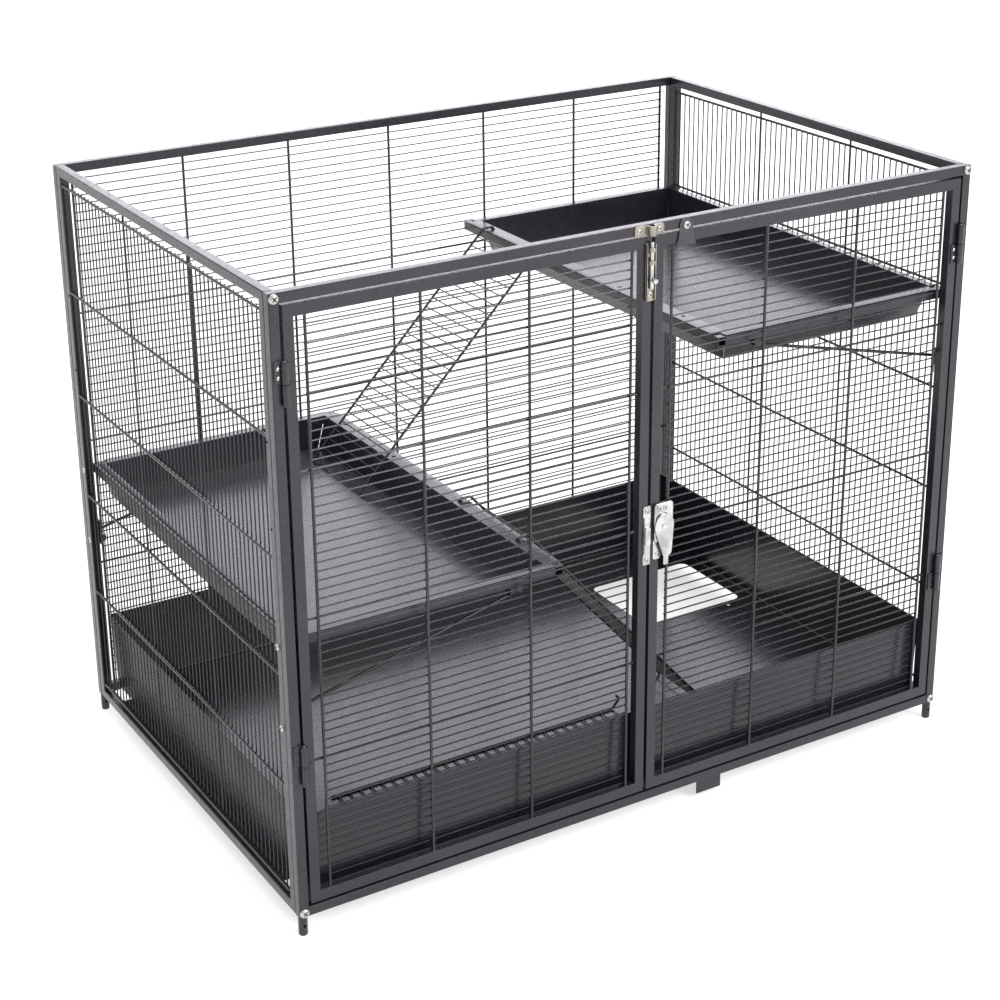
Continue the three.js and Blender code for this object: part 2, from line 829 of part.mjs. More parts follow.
function swingTab() {
  const half = tabWidth / 2;
  const neck = tabRound + tabNeck;
  const flare = tabBottom + tabFlare;
  const shape = new THREE.Shape();
  shape.moveTo(tabX - half, tabBottom);
  shape.lineTo(tabX + half, tabBottom);
  shape.quadraticCurveTo(tabX + neck, flare, tabX + tabRound, tabLevel);
  shape.absarc(tabX, tabLevel, tabRound, 0, Math.PI, false);
  shape.quadraticCurveTo(tabX - neck, flare, tabX - half, tabBottom);
  const hole = new THREE.Path();
  hole.absarc(tabX, tabLevel, screwShank / 2 + slip, 0, 2 * Math.PI, true);
  shape.holes.push(hole);
  return plate(shape, [tabBack - tabThickness, tabBack]);
}

function bottomTab() {
  const span = [bottomTabX - bottomTabWidth / 2, bottomTabX + bottomTabWidth / 2];
  const front = frontFace + bottomTabThickness;
  const leg = box(span, [front, front + bottomTabThickness], [-bottomTabDrop, 0]);
  const flange = box(span, [front, frontFace + tube - tubeEdge], [-bottomTabThickness, 0]);
  return join(leg, flange);
}

// ---------------------------------------------------------------- shelves
// Drawn as the right shelf, with heights counted from its rim; the left one is its mirror.
const halfShelf = halfDepth - shelfInset;
const barTop = -sheet - seat;
const barBottom = barTop - shelfBar;
const rampHole = rampRail * Math.SQRT2 + 2 * slip; // takes a hook's tip

function shelfFrame() {
  const ring = ringShape(
    [shelfFreeEdge, barFace], [-halfShelf, halfShelf],
    [shelfFreeEdge + shelfBar, barFace - shelfBar],
    [-halfShelf + shelfBar, halfShelf - shelfBar],
  );
  const pockets = [-1, 1].map((end) => {
    const ends = [end * (halfShelf + past), end * (halfShelf - tubeEndDepth)];
    return box(
      [shelfFreeEdge + tubeWall, shelfFreeEdge + shelfBar - tubeWall],
      [Math.min(...ends), Math.max(...ends)],
      [barBottom + tubeWall, barTop - tubeWall],
    );
  });
  const holes = [-1, 1].map((end) => rod(
    [barFace + past, end * shelfScrewY, -shelfScrewDrop],
    [barFace - screwReach - slip, end * shelfScrewY, -shelfScrewDrop],
    screwShank + 2 * slip, screwSides,
  ));
  return cut(slab(ring, [barBottom, barTop], tubeEdge), pockets, holes);
}

function lipShape() {
  const left = shelfFreeEdge;
  const right = barFace - lipWallGap;
  const shape = new THREE.Shape();
  shape.moveTo(left + lipNotch, -halfShelf);
  shape.lineTo(right - lipNotch, -halfShelf);
  shape.lineTo(right - lipNotch, -halfShelf + lipNotch);
  shape.lineTo(right, -halfShelf + lipNotch);
  shape.lineTo(right, halfShelf - lipNotch);
  shape.lineTo(right - lipNotch, halfShelf - lipNotch);
  shape.lineTo(right - lipNotch, halfShelf);
  shape.lineTo(left + lipNotch, halfShelf);
  shape.lineTo(left + lipNotch, halfShelf - lipNotch);
  shape.lineTo(left, halfShelf - lipNotch);
  shape.lineTo(left, -halfShelf + lipNotch);
  shape.lineTo(left + lipNotch, -halfShelf + lipNotch);
  return shape;
}

function shelfPan() {
  const x = [shelfFreeEdge + lipFree, barFace - shelfBar - panSlack];
  const halfY = halfShelf - shelfBar - panSlack;
  const lowX = [x[0] + freeWallSlope, x[1] - wallSideSlope];
  const lowY = [-halfY + frontWallSlope, halfY - backWallSlope];
  const grow = ([from, to], by) => [from - by, to + by];
  const outside = taperedBlock([lowX, lowY], [x, [-halfY, halfY]], [-panHeight, -sheet / 2], 0);
  const inside = taperedBlock(
    [grow(lowX, -sheet), grow(lowY, -sheet)],
    [grow(x, -sheet), grow([-halfY, halfY], -sheet)],
    [-panHeight + sheet, past], 0,
  );
  const lip = slab(lipShape(), [-sheet, 0]);
  const holes = rampHoleLevels.map((y) => rod(
    [shelfFreeEdge + rampHoleInset, y, -sheet - past],
    [shelfFreeEdge + rampHoleInset, y, past],
    rampHole, screwSides,
  ));
  return cut(join(outside, lip), inside, holes);
}

// A wire strut with its bracket on the post; side is +1 at the rear and -1 at the front.
function strut(side) {
  const y = side * (halfDepth - strutInset);
  const end = barFace - strutReach;
  const wire = rod(
    [barFace - bracketThickness / 2, y, -strutFrom], [end, y, -strutTopDrop],
    strutWire, wireSides,
  );
  const middle = side * shelfScrewY;
  const width = [middle - bracketWidth / 2, middle + bracketWidth / 2];
  const back = box([barFace - bracketThickness, barFace], width, [-bracketBottom, -bracketTop]);
  const nutHalf = nutWidth / 2;
  const nut = box(
    [barFace - nutReach, barFace], [middle - nutHalf, middle + nutHalf],
    [-strutScrewDrop - nutHalf, -strutScrewDrop + nutHalf],
  );
  const lug = box(
    [end - strutWire / 4, end - strutWire / 4 + lugLength],
    [y - shelfBar / 2, y + shelfBar / 2],
    [-strutTopDrop - strutWire / 4, barBottom - seat],
  );
  const hole = rod(
    [barFace + past, middle, -strutScrewDrop],
    [barFace - nutReach - past, middle, -strutScrewDrop],
    screwShank + 2 * slip, screwSides,
  );
  return cut(join(wire, back, nut, lug), hole);
}

// ---------------------------------------------------------------- bottom tray
function bottomTray() {
  const x = innerHalfWidth - traySideGap;
  const y = halfDepth - tube - trayEndGap;
  const spans = (inset) => [[-x + inset, x - inset], [-y + inset, y - inset]];
  const rimInset = trayHem;
  const low = trayFloorUnder;
  const outside = taperedBlock(
    spans(rimInset + trayDraft), spans(rimInset), [low, trayRim], trayCorner,
  );
  const hem = taperedBlock(spans(0), spans(0), [trayRim - trayHemHeight, trayRim], trayCorner);
  const inside = taperedBlock(
    spans(rimInset + trayDraft + traySheet), spans(rimInset + traySheet),
    [low + traySheet, trayRim + past], trayCorner - traySheet,
  );
  const passage = slab(
    roundedRectangle(
      [passageX - passageWidth / 2, passageX + passageWidth / 2],
      [passageY - passageDepth / 2, passageY + passageDepth / 2],
      passageCorner,
    ),
    [low - past, low + traySheet + past],
  );
  const holesY = passageY - passageDepth / 2 - hookHolesGap;
  const holes = [-1, 1].map((side) => {
    const holeX = hookHolesX + side * rampWidth / 2;
    return rod(
      [holeX, holesY, low - past], [holeX, holesY, low + traySheet + past],
      rampHole, screwSides,
    );
  });
  return cut(join(outside, hem), inside, passage, holes);
}

// ---------------------------------------------------------------- ramps
// Two rails and the rungs between them. Points are (x, z) pairs along one rail, from its
// foot to its bend; hook gives the points past the bend.
function ramp(middleY, foot, bend, hook) {
  const rails = [-1, 1].map((side) => bentRail(
    [foot, bend, ...hook], middleY + side * rampWidth / 2, rampRail,
  ));
  const [dx, dz] = [bend[0] - foot[0], bend[1] - foot[1]];
  const length = Math.hypot(dx, dz);
  const count = Math.floor(length / rungPitch);
  const rungs = Array.from({ length: count }, (_, index) => {
    const along = (index + 0.5) * rungPitch / length;
    const rung = new THREE.BoxGeometry(thinWire, rampWidth, thinWire);
    rung.rotateY(-Math.atan2(dz, dx));
    rung.translate(foot[0] + dx * along, middleY, foot[1] + dz * along);
    return solid(rung);
  });
  return join(rails, rungs);
}

// A ramp hooked over a shelf's lip; side is the shelf's side of the cage.
function shelfRamp(middleY, side, rim, footX, floorLevel) {
  const level = rim + hookLift + rampRail / 2;
  const bend = [side * (shelfFreeEdge - hookOut), level];
  const slope = Math.atan2(level - floorLevel, Math.abs(bend[0] - footX));
  const footLevel = floorLevel + seat + Math.cos(slope) * rampRail / 2;
  const holeX = side * (shelfFreeEdge + rampHoleInset);
  return ramp(middleY, [footX, footLevel], bend, [[holeX, level], [holeX, rim - hookTip]]);
}

// The spare ramp lies flat on the tray's floor with its hooks curled up.
function floorRamp(floorLevel) {
  const level = floorLevel + seat + rampRail / 2;
  const rise = curlLength * Math.SQRT1_2;
  const bend = [floorRampEnd - rise, level];
  const top = [floorRampEnd, level + rise];
  const tip = [floorRampEnd - rise / 2, level + 1.5 * rise];
  return ramp(floorRampY, [floorRampEnd - floorRampLength, level], bend, [top, tip]);
}

// ---------------------------------------------------------------- assembly
const cage = new THREE.Group();
const body = new THREE.Group(); // heights inside it count from the frame's underside
body.position.z = footHeight;
cage.add(body);

function panelGroup(turn) {
  const group = new THREE.Group();
  group.rotation.z = turn;
  body.add(group);
  return group;
}

function add(parent, name, shape, material, position = [0, 0, 0], turn = 0) {
  const mesh = new THREE.Mesh(geometryOf(shape), material);
  mesh.name = name;
  mesh.position.set(...position);
  mesh.rotation.z = turn;
  parent.add(mesh);
}

function addFrame() {
  add(body, 'front_frame', frontFrame(), framePaint);
  const back = panelGroup(Math.PI);
  add(back, 'back_frame', backFrame(), framePaint);
  add(back, 'back_grille', backGrille(), wirePaint);
  const frameShape = sideFrame();
  const grilleShape = sideGrille();
  [['left', -Math.PI / 2], ['right', Math.PI / 2]].forEach(([side, turn]) => {
    const panel = panelGroup(turn);
    add(panel, `${side}_side_frame`, frameShape, framePaint);
    add(panel, `${side}_side_grille`, grilleShape, wirePaint);
  });
}

function addCorners() {
  const shank = tube + seat + boltReach - screwEnd;
  const bolt = screwGeometry(boltHead, boltHeadHeight, boltShank, shank);
  const peg = foot();
  const footY = halfDepth - tube / 2;
  [['front', -1], ['rear', 1]].forEach(([end, alongY]) => {
    [['left', -1], ['right', 1]].forEach(([side, alongX]) => {
      const x = alongX * postMiddle;
      add(body, `foot_${end}_${side}`, peg, framePaint, [x, alongY * footY, 0]);
      boltLevels().forEach((z, index) => {
        const name = `corner_bolt_${end}_${side}_${index ? 'top' : 'bottom'}`;
        const turn = alongY < 0 ? 0 : Math.PI;
        add(body, name, bolt, zinc, [x, alongY * halfDepth, z], turn);
      });
    });
  });
}

function addShelf(name, rim, side) {
  const place = [0, 0, rim];
  const onSide = (shape) => (side > 0 ? shape : mirrored(shape));
  add(body, `${name}_shelf_frame`, onSide(shelfFrame()), framePaint, place);
  add(body, `${name}_shelf_pan`, onSide(shelfPan()), panFinish, place);
  const screw = screwGeometry(
    screwHead, screwHeadHeight, screwShank, tube + seat + screwReach - screwEnd,
  );
  [['front', -1], ['rear', 1]].forEach(([end, alongY]) => {
    add(body, `${name}_${end}_strut`, onSide(strut(alongY)), wirePaint, place);
    [['shelf', shelfScrewDrop], ['strut', strutScrewDrop]].forEach(([use, drop]) => {
      const at = [side * halfWidth, alongY * shelfScrewY, rim - drop];
      add(body, `${name}_${end}_${use}_screw`, screw, zinc, at, side * Math.PI / 2);
    });
  });
}

function addHinges(door, doorName, side) {
  const onSide = (shape) => (side > 0 ? shape : mirrored(shape));
  [['upper', upperHingeBottom], ['lower', lowerHingeBottom]].forEach(([level, bottom]) => {
    const place = [side * hingeX, hingeY, bottom];
    const name = `${doorName}_${level}_hinge`;
    add(body, `${name}_frame_leaf`, onSide(hingeFrameLeaf()), framePaint, place);
    add(door, `${name}_door_leaf`, onSide(hingeDoorLeaf()), framePaint, place);
  });
}

function addDoor(name, side) {
  const door = new THREE.Group();
  body.add(door);
  const onSide = (shape) => (side > 0 ? shape : mirrored(shape));
  add(door, `${name}_door_frame`, onSide(doorFrame()), framePaint);
  add(door, `${name}_door_grille`, onSide(doorGrille()), wirePaint);
  addHinges(door, name, side);
  return door;
}

function addFittings(leftDoor, rightDoor) {
  add(leftDoor, 'bolt_plate', boltPlate(), chrome);
  add(leftDoor, 'bolt_rod', boltRod(), chrome);
  add(leftDoor, 'strike_plate', strikePlate(), chrome);
  add(rightDoor, 'latch_body', latchBody(), chrome);
  add(rightDoor, 'latch_lever', latchLever(), chrome);
  add(body, 'bolt_keeper', boltKeeper(), chrome);
  add(body, 'swing_tab', swingTab(), framePaint);
  const underHead = tabBack - tabThickness - seat;
  const shank = frontFace - underHead + screwReach - screwEnd;
  const tabScrew = screwGeometry(screwHead, screwHeadHeight, screwShank, shank);
  add(body, 'swing_tab_screw', tabScrew, zinc, [tabX, underHead, tabLevel]);
  add(body, 'bottom_tab', bottomTab(), framePaint);
}

function addRamps() {
  const panFloor = lowerRim - panHeight + sheet;
  const trayFloor = trayFloorUnder + traySheet;
  add(
    body, 'upper_ramp',
    shelfRamp(upperRampY, 1, upperRim, upperRampFoot, panFloor), wirePaint,
  );
  add(
    body, 'lower_ramp',
    shelfRamp(lowerRampY, -1, lowerRim, lowerRampFoot, trayFloor), wirePaint,
  );
  add(body, 'floor_ramp', floorRamp(trayFloor), wirePaint);
}

addFrame();
addCorners();
addShelf('upper', upperRim, 1);
addShelf('lower', lowerRim, -1);
add(body, 'bottom_tray', bottomTray(), panFinish);
addFittings(addDoor('left', -1), addDoor('right', 1));
addRamps();

export default cage;
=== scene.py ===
"""Ferret cage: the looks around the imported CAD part.

Lengths are in millimetres with heights from the underside of the frame, until piece() turns
them into the row frame's metres. Everything that comes in a left and a right is drawn on the
right and mirrored with side = -1.
"""

import math

import bmesh
import bpy
from mathutils import Matrix, Vector


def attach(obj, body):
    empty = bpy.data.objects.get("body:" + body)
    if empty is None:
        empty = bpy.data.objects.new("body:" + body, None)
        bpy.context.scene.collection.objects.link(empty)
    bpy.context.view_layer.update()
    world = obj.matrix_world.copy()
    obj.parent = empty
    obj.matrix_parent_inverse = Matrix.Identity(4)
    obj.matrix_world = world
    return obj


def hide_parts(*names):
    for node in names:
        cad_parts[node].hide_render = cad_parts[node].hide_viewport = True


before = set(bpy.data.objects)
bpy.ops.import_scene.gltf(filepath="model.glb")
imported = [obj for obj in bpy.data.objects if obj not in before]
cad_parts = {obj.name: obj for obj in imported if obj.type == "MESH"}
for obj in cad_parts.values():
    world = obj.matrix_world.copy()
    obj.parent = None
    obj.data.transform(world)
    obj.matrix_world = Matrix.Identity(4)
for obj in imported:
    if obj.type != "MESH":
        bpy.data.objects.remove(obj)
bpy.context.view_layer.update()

# ------------------------------------------------------------------ sizes
# The CAD part's, unless a comment says otherwise
MM = 0.001
FOOT_HEIGHT = 25.0
HALF_WIDTH = 475.0
HALF_DEPTH = 315.0
HEIGHT = 745.0
TUBE = 12.0
INNER_X = HALF_WIDTH - TUBE
INNER_TOP = HEIGHT - TUBE
POST_X = HALF_WIDTH - TUBE / 2
POST_Y = HALF_DEPTH - TUBE / 2
SEAT = 0.3  # between pieces that touch
SIDE_HALF_DEPTH = HALF_DEPTH - TUBE - SEAT
FRONT = -HALF_DEPTH
TUBE_EDGE = 1.3  # rounding of the tube's edges, 1 in the CAD part
DOOR_EDGE = 0.4  # the doors' edges look sharper

THICK = 3.5
CROSS = 3.0
THIN = 1.9  # 2 in the CAD part
THICK_SIDES = 12
THIN_SIDES = 8
WIRE_INSET = 0.2
THICK_PLANE = WIRE_INSET + THICK / 2  # middle of each kind of wire, behind the outer face
THIN_PLANE = 5.0
CROSS_PLANE = 5.5
WIRE_PAST = 0.4  # thin wires run this far past the last upright's middle
CROSS_EVERY = 16  # among the thin wires, each sixteenth is a longer cross wire

DOOR_INNER = 2.0
DOOR_OUTER = 460.0
DOOR_BOTTOM = 15.5
DOOR_TOP = 730.5
STILE = 12.5
RAIL = 13.75
DOOR_UPRIGHTS = (27.75, 163.23, 298.72, 434.2)
DOOR_WIRES = 63
DOOR_WIRE_START = 32.45
DOOR_WIRE_PITCH = 10.85
DOOR_CROSS_FIRST = 15

BACK_UPRIGHTS = (-452.0, -301.33, -150.67, 0.0, 150.67, 301.33, 452.0)
BACK_WIRES = 64
BACK_WIRE_START = 723.4
BACK_WIRE_PITCH = 11.03
BACK_CROSS_FIRST = 16

SIDE_BARS = (22.5, 162.5, 302.5, 442.5, 582.5, 722.5)
SIDE_WIRES = 52
SIDE_WIRE_PITCH = 11.2
SIDE_CROSS = 95.2  # from the middle to the two longer uprights
SIDE_CROSS_SLACK = 0.1
END_BAR_PAST = 1.5  # past the last upright's middle
SIDE_WIRE_PAST = 1.2  # past the end bars' middle
LEDGE_HALF = 250.0
LEDGE_BITE = 1.0
LEDGE_REACH = 22.0
LEDGE_LEVELS = (10.1, 11.7)

LOWER_RIM = 345.0
UPPER_RIM = 585.0
SHELF_FREE = 108.0
SHELF_HALF = 297.0
BAR_FACE = 462.7
BAR_TOP = -1.3
BAR_BOTTOM = -13.3
LIP_WALL = 457.0
LIP_NOTCH = 12.0
RAMP_HOLES = (237.0, 100.0, -75.0, -212.0)
RAMP_HOLE_X = 119.0
RAMP_HOLE = 5.5
PAN_MOUTH = ((128.0, 449.2), (-283.5, 283.5))
PAN_FLOOR = ((142.0, 446.2), (-263.5, 278.5))
PAN_DEPTH = 43.0
PAN_SEAM = 0.45  # gap between two walls at a corner
SHEET = 1.0
SHELF_TUBE_WALL = 1.2
OPEN_DEPTH = 14.0  # how deep an open tube is hollow
SCREW_Y = 294.0
SHELF_SCREW_DROP = 7.5  # below the rim
STRUT_SCREW_DROP = 108.0
STRUT_Y = 290.0
STRUT_WIRE = 4.0
STRUT_LEVELS = (-93.0, -21.0)
STRUT_REACH = 298.0

TRAY_HALF = (458.0, 299.0)
TRAY_CORNER = 5.0
TRAY_FLOOR = (12.0, 13.2)
PASSAGE = ((260.0, 431.0), (55.0, 199.0))
HOOK_HOLES = (332.5, 45.0)

RAMP_HALF = 68.5  # from a ramp's middle to its rails
RAIL_BEND = 5.0
RUNG_HALF = 69.5
RUNG_PITCH = 15.0
HOOK_TIP = 0.6  # below the rim
EYELET_RING = 3.1
EYELET_WIRE = 0.4

HINGE_X = 461.5
HINGE_Y = FRONT - 4.0
HINGE_LEVELS = {"upper": 622.0, "lower": 172.0}
KNUCKLE = 24.85
BARREL = 50.0
LEAF_FACE = HINGE_Y + 2.5
LEAF_REACH = 11.5
RIVET_X = 7.0  # from the hinge's axis
RIVET_LEVELS = (7.0, 17.0)  # from the hinge's middle

BOLT_X = -4.75
ROD_Y = FRONT - 4.3
ROD_FOOT = 669.6
KNOB_LEVEL = 681.1
PLATE_FACE = FRONT - 1.5
BOLT_HALF = 6.25
BOLT_LEVELS = (654.6, 723.6)
BOLT_SCREW_LEVELS = (662.6, 709.1)
FLANGE = 1.3
FLANGE_LEVELS = (656.0, 722.2)
FLANGE_FACE = FRONT - 4.4
GUIDE_LEVELS = (701.6, 716.6)
GUIDE_HALF = 2.5
KEEPER_X = (BOLT_X - 21.7, BOLT_X + 18.3)
KEEPER_GAP = 3.5  # from the rod's axis to a wing
KEEPER_STRAP_LEVELS = (732.6, 744.4)
KEEPER_WING_LEVELS = (732.0, 744.6)
KEEPER_SCREW_LEVEL = 738.3
KEEPER_SCREW_INSET = 6.0

STRIKE_SCREW_X = -3.75
STRIKE_SCREW_LEVELS = (331.5, 394.1)
HOUSE_FACE = FRONT - 4.6
LEVER_FACES = (FRONT - 7.3, FRONT - 4.9)
PIVOT = (18.0, 372.0)

TAB_X = 44.0
TAB_LEVEL = 737.0
TAB_HALF = 9.0
TAB_FACES = (FRONT - 1.8, FRONT - 0.3)
TAB_SCREW_FACE = FRONT - 2.1

# Widths and heights of screw heads
CORNER_BOLT = (11.5, 3.4)
SHELF_SCREW = (8.5, 2.4)
TAB_SCREW = (9.5, 2.4)
BOLT_SCREW = (6.8, 1.4)
KEEPER_SCREW = (6.6, 1.4)
LATCH_SCREW = (6.0, 1.4)

# Turned forms, as (radius, height) from their foot
FOOT = [(4.6, 0.0), (5.3, 0.8), (5.5, 1.6), (5.5, FOOT_HEIGHT)]
FOOT_HOLE = [(2.0, -10.0), (2.0, 10.0)]
FOOT_HOLE_LEVEL = -12.0
POST_HOLE = [(2.1, -2.0), (2.1, 2.0)]
POST_HOLE_INSET = 1.4
WELD = [(0.0, -0.1), (1.984, 0.0), (1.76, 0.5), (1.088, 1.0), (0.0, 1.25)]
HINGE_BARREL = [
    (3.3, 0.0), (3.8, 0.25), (4.0, 0.8),
    (4.0, KNUCKLE - 0.8), (3.8, KNUCKLE - 0.25), (3.3, KNUCKLE),
]
PIN_END = [(2.0, -0.3), (2.0, 0.2), (1.7, 0.45), (0.0, 0.5)]
RIVET = [(2.3, 0.0), (2.2, 0.5), (1.5, 1.0), (0.0, 1.2)]
ROD = [(1.9, 0.0), (2.5, 0.7), (2.5, 54.6), (2.2, 55.4), (1.5, 55.9)]
KNOB = [(2.0, 0.0), (2.0, 4.2), (3.2, 5.2), (3.5, 6.2), (3.5, 7.8), (3.0, 8.7), (1.6, 9.0)]
PIVOT_PIN = [(2.0, -0.1), (2.0, 3.4)]
PIVOT_CAP = [(4.0, 3.0), (4.0, 3.4), (3.2, 3.8), (0.0, 4.0)]

UP = (0, 0, 1)
OUT = (0, -1, 0)  # away from the doors
SHARP = math.radians(35)  # steeper edges stay sharp

# The photograph's viewpoint: distances in metres, the shift as a share of the picture
CAMERA_AZIMUTH = math.radians(-30.916)
CAMERA_ELEVATION = math.radians(20.862)
CAMERA_ROLL = math.radians(-0.617)
CAMERA_DISTANCE = 2.7199
CAMERA_ASIDE = -0.0129
CAMERA_RISE = 0.0561
CAMERA_LENS = 75.185
CAMERA_SHIFT = -0.10

# Ways to turn a drawing of the front panel into the other panels
TURN = {"front": 0.0, "back": math.pi, "left": -math.pi / 2, "right": math.pi / 2}


# ------------------------------------------------------------------ materials
def node_material(name):
    """An empty Principled material with object coordinates to hang textures on."""
    material = bpy.data.materials.new(name)
    material.use_nodes = True
    tree = material.node_tree
    shader = tree.nodes["Principled BSDF"]
    place = tree.nodes.new("ShaderNodeTexCoord")
    return material, tree, shader, place.outputs["Object"]


def noise(tree, place, scale, detail=3.0, stretch=(1.0, 1.0, 1.0)):
    """Noise texture in the object's own coordinates, stretched along an axis if asked."""
    mapping = tree.nodes.new("ShaderNodeMapping")
    mapping.inputs["Scale"].default_value = stretch
    tree.links.new(place, mapping.inputs["Vector"])
    texture = tree.nodes.new("ShaderNodeTexNoise")
    texture.inputs["Scale"].default_value = scale
    texture.inputs["Detail"].default_value = detail
    tree.links.new(mapping.outputs["Vector"], texture.inputs["Vector"])
    return texture.outputs["Fac"]


def cells(tree, place, scale):
    """Smooth cells, for the dimples of a hammered finish."""
    texture = tree.nodes.new("ShaderNodeTexVoronoi")
    texture.feature = "SMOOTH_F1"
    texture.inputs["Scale"].default_value = scale
    texture.inputs["Smoothness"].default_value = 0.6
    tree.links.new(place, texture.inputs["Vector"])
    return texture.outputs["Distance"]


def ranged(tree, value, low, high, start=0.35, end=0.65):
    """A texture's middle range spread over low to high."""
    spread = tree.nodes.new("ShaderNodeMapRange")
    spread.inputs["From Min"].default_value = start
    spread.inputs["From Max"].default_value = end
    spread.inputs["To Min"].default_value = low
    spread.inputs["To Max"].default_value = high
    tree.links.new(value, spread.inputs["Value"])
    return spread.outputs["Result"]


def between(tree, share, low, high):
    """A colour between two, by a share from a texture."""
    mix = tree.nodes.new("ShaderNodeMix")
    mix.data_type = "RGBA"
    mix.inputs["A"].default_value = (*low, 1.0)
    mix.inputs["B"].default_value = (*high, 1.0)
    tree.links.new(share, mix.inputs["Factor"])
    return mix.outputs["Result"]


def bump(tree, height, strength, distance, before=None):
    """A bump from a height texture, on top of another bump if one is given."""
    node = tree.nodes.new("ShaderNodeBump")
    node.inputs["Strength"].default_value = strength
    node.inputs["Distance"].default_value = distance
    tree.links.new(height, node.inputs["Height"])
    if before is not None:
        tree.links.new(before, node.inputs["Normal"])
    return node.outputs["Normal"]


def srgb(code):
    """Linear colour from a hexadecimal one."""
    parts = [int(code[i : i + 2], 16) / 255 for i in (0, 2, 4)]
    return tuple(p / 12.92 if p <= 0.04045 else ((p + 0.055) / 1.055) ** 2.4 for p in parts)


def hammered_paint(name, dark, pale, rough, metallic, dimples, depth):
    """Glossy powder coat with fine dimples, small flakes and slight drifts of tone."""
    material, tree, shader, place = node_material(name)
    drift = ranged(tree, noise(tree, place, 9.0), 0.0, 1.0)
    colour = between(tree, drift, srgb(dark), srgb(pale))
    flakes = ranged(tree, noise(tree, place, 1500.0, 1.0), 0.0, 1.0, 0.58, 0.72)
    fleck = between(tree, flakes, (0.0, 0.0, 0.0), (0.035, 0.034, 0.037))
    add = tree.nodes.new("ShaderNodeMix")
    add.data_type = "RGBA"
    add.blend_type = "ADD"
    add.inputs["Factor"].default_value = 1.0
    tree.links.new(colour, add.inputs["A"])
    tree.links.new(fleck, add.inputs["B"])
    tree.links.new(add.outputs["Result"], shader.inputs["Base Color"])
    uneven = ranged(tree, noise(tree, place, 140.0), rough - 0.05, rough + 0.07)
    tree.links.new(uneven, shader.inputs["Roughness"])
    shader.inputs["Metallic"].default_value = metallic
    shader.inputs["Coat Weight"].default_value = 0.2
    shader.inputs["Coat Roughness"].default_value = 0.2
    normal = bump(tree, cells(tree, place, dimples), depth, 0.0004)
    normal = bump(tree, noise(tree, place, 2600.0, 2.0), depth * 0.5, 0.0001, normal)
    tree.links.new(normal, shader.inputs["Normal"])
    return material


def pan_enamel(name, dark, pale, rough):
    """Smooth glossy enamel on sheet metal: gentle waves, fine orange peel, faint scuffs."""
    material, tree, shader, place = node_material(name)
    drift = ranged(tree, noise(tree, place, 5.0), 0.0, 1.0)
    colour = between(tree, drift, srgb(dark), srgb(pale))
    tree.links.new(colour, shader.inputs["Base Color"])
    scuffs = noise(tree, place, 60.0, 4.0, (1.0, 6.0, 1.0))
    tree.links.new(ranged(tree, scuffs, rough - 0.03, rough + 0.05), shader.inputs["Roughness"])
    shader.inputs["Coat Weight"].default_value = 0.2
    shader.inputs["Coat Roughness"].default_value = 0.2
    normal = bump(tree, noise(tree, place, 700.0, 2.0), 0.08, 0.0001)
    normal = bump(tree, noise(tree, place, 6.0, 1.0), 0.1, 0.002, normal)
    tree.links.new(normal, shader.inputs["Normal"])
    return material


def bright_metal(name, tone, rough, grain, depth=0.8):
    """Plated metal with fine brush marks, drifts of tone and a slightly uneven shine. The drifts'
    darker end, set by depth, is random tone, and on the chrome also painted reflection of dark
    surroundings.
    """
    material, tree, shader, place = node_material(name)
    drift = ranged(tree, noise(tree, place, 60.0), 0.0, 1.0)
    low = tuple(channel * depth for channel in srgb(tone))
    tree.links.new(between(tree, drift, low, srgb(tone)), shader.inputs["Base Color"])
    shader.inputs["Metallic"].default_value = 1.0
    spots = noise(tree, place, 320.0, 3.0)
    tree.links.new(ranged(tree, spots, rough - 0.04, rough + 0.08), shader.inputs["Roughness"])
    brushed = noise(tree, place, 900.0, 2.0, (1.0, 1.0, 0.08))
    tree.links.new(bump(tree, brushed, grain, 0.0001), shader.inputs["Normal"])
    return material


def painted_shade(name):
    """Near-black painted shade, rough like bare rolled steel, for the walls of drilled holes and
    the crosses of screw recesses.
    """
    material, tree, shader, place = node_material(name)
    drift = ranged(tree, noise(tree, place, 300.0), 0.0, 1.0)
    colour = between(tree, drift, (0.006, 0.006, 0.006), (0.016, 0.015, 0.015))
    tree.links.new(colour, shader.inputs["Base Color"])
    tree.links.new(bump(tree, noise(tree, place, 1200.0), 0.3, 0.0002), shader.inputs["Normal"])
    shader.inputs["Roughness"].default_value = 0.8
    return material


FRAME_PAINT = hammered_paint("frame_paint", "26232a", "302c33", 0.28, 0.3, 620.0, 0.34)
WIRE_PAINT = hammered_paint("wire_paint", "29272b", "373539", 0.22, 0.5, 900.0, 0.2)
PAN = pan_enamel("pan_enamel", "1d1c25", "27262f", 0.24)
ZINC = bright_metal("zinc_plate", "c4c2bc", 0.25, 0.12)
# The deep drift (0.62) paints in reflections of dark surroundings: painted reflection
CHROME = bright_metal("chrome_plate", "c6c5c4", 0.16, 0.08, 0.62)
STEEL = bright_metal("bolt_steel", "a39d91", 0.24, 0.2, 0.62)
TAB_PAINT = hammered_paint("tab_paint", "343336", "4b4a4e", 0.3, 0.45, 420.0, 0.9)
# Near-black painted shade for drilled holes and screw recesses
PAINTED_SHADE = painted_shade("painted_shade")


# ------------------------------------------------------------------ mesh helpers
def loft(bm, rings, caps=True):
    """Faces between rings of points; the rings close round, and the ends get caps."""
    rows = [[bm.verts.new(point) for point in ring] for ring in rings]
    count = len(rows[0])
    for low, high in zip(rows, rows[1:]):
        for i in range(count):
            j = (i + 1) % count
            bm.faces.new((low[i], low[j], high[j], high[i]))
    if caps:
        bm.faces.new(rows[0][::-1])
        bm.faces.new(rows[-1])
    return rows


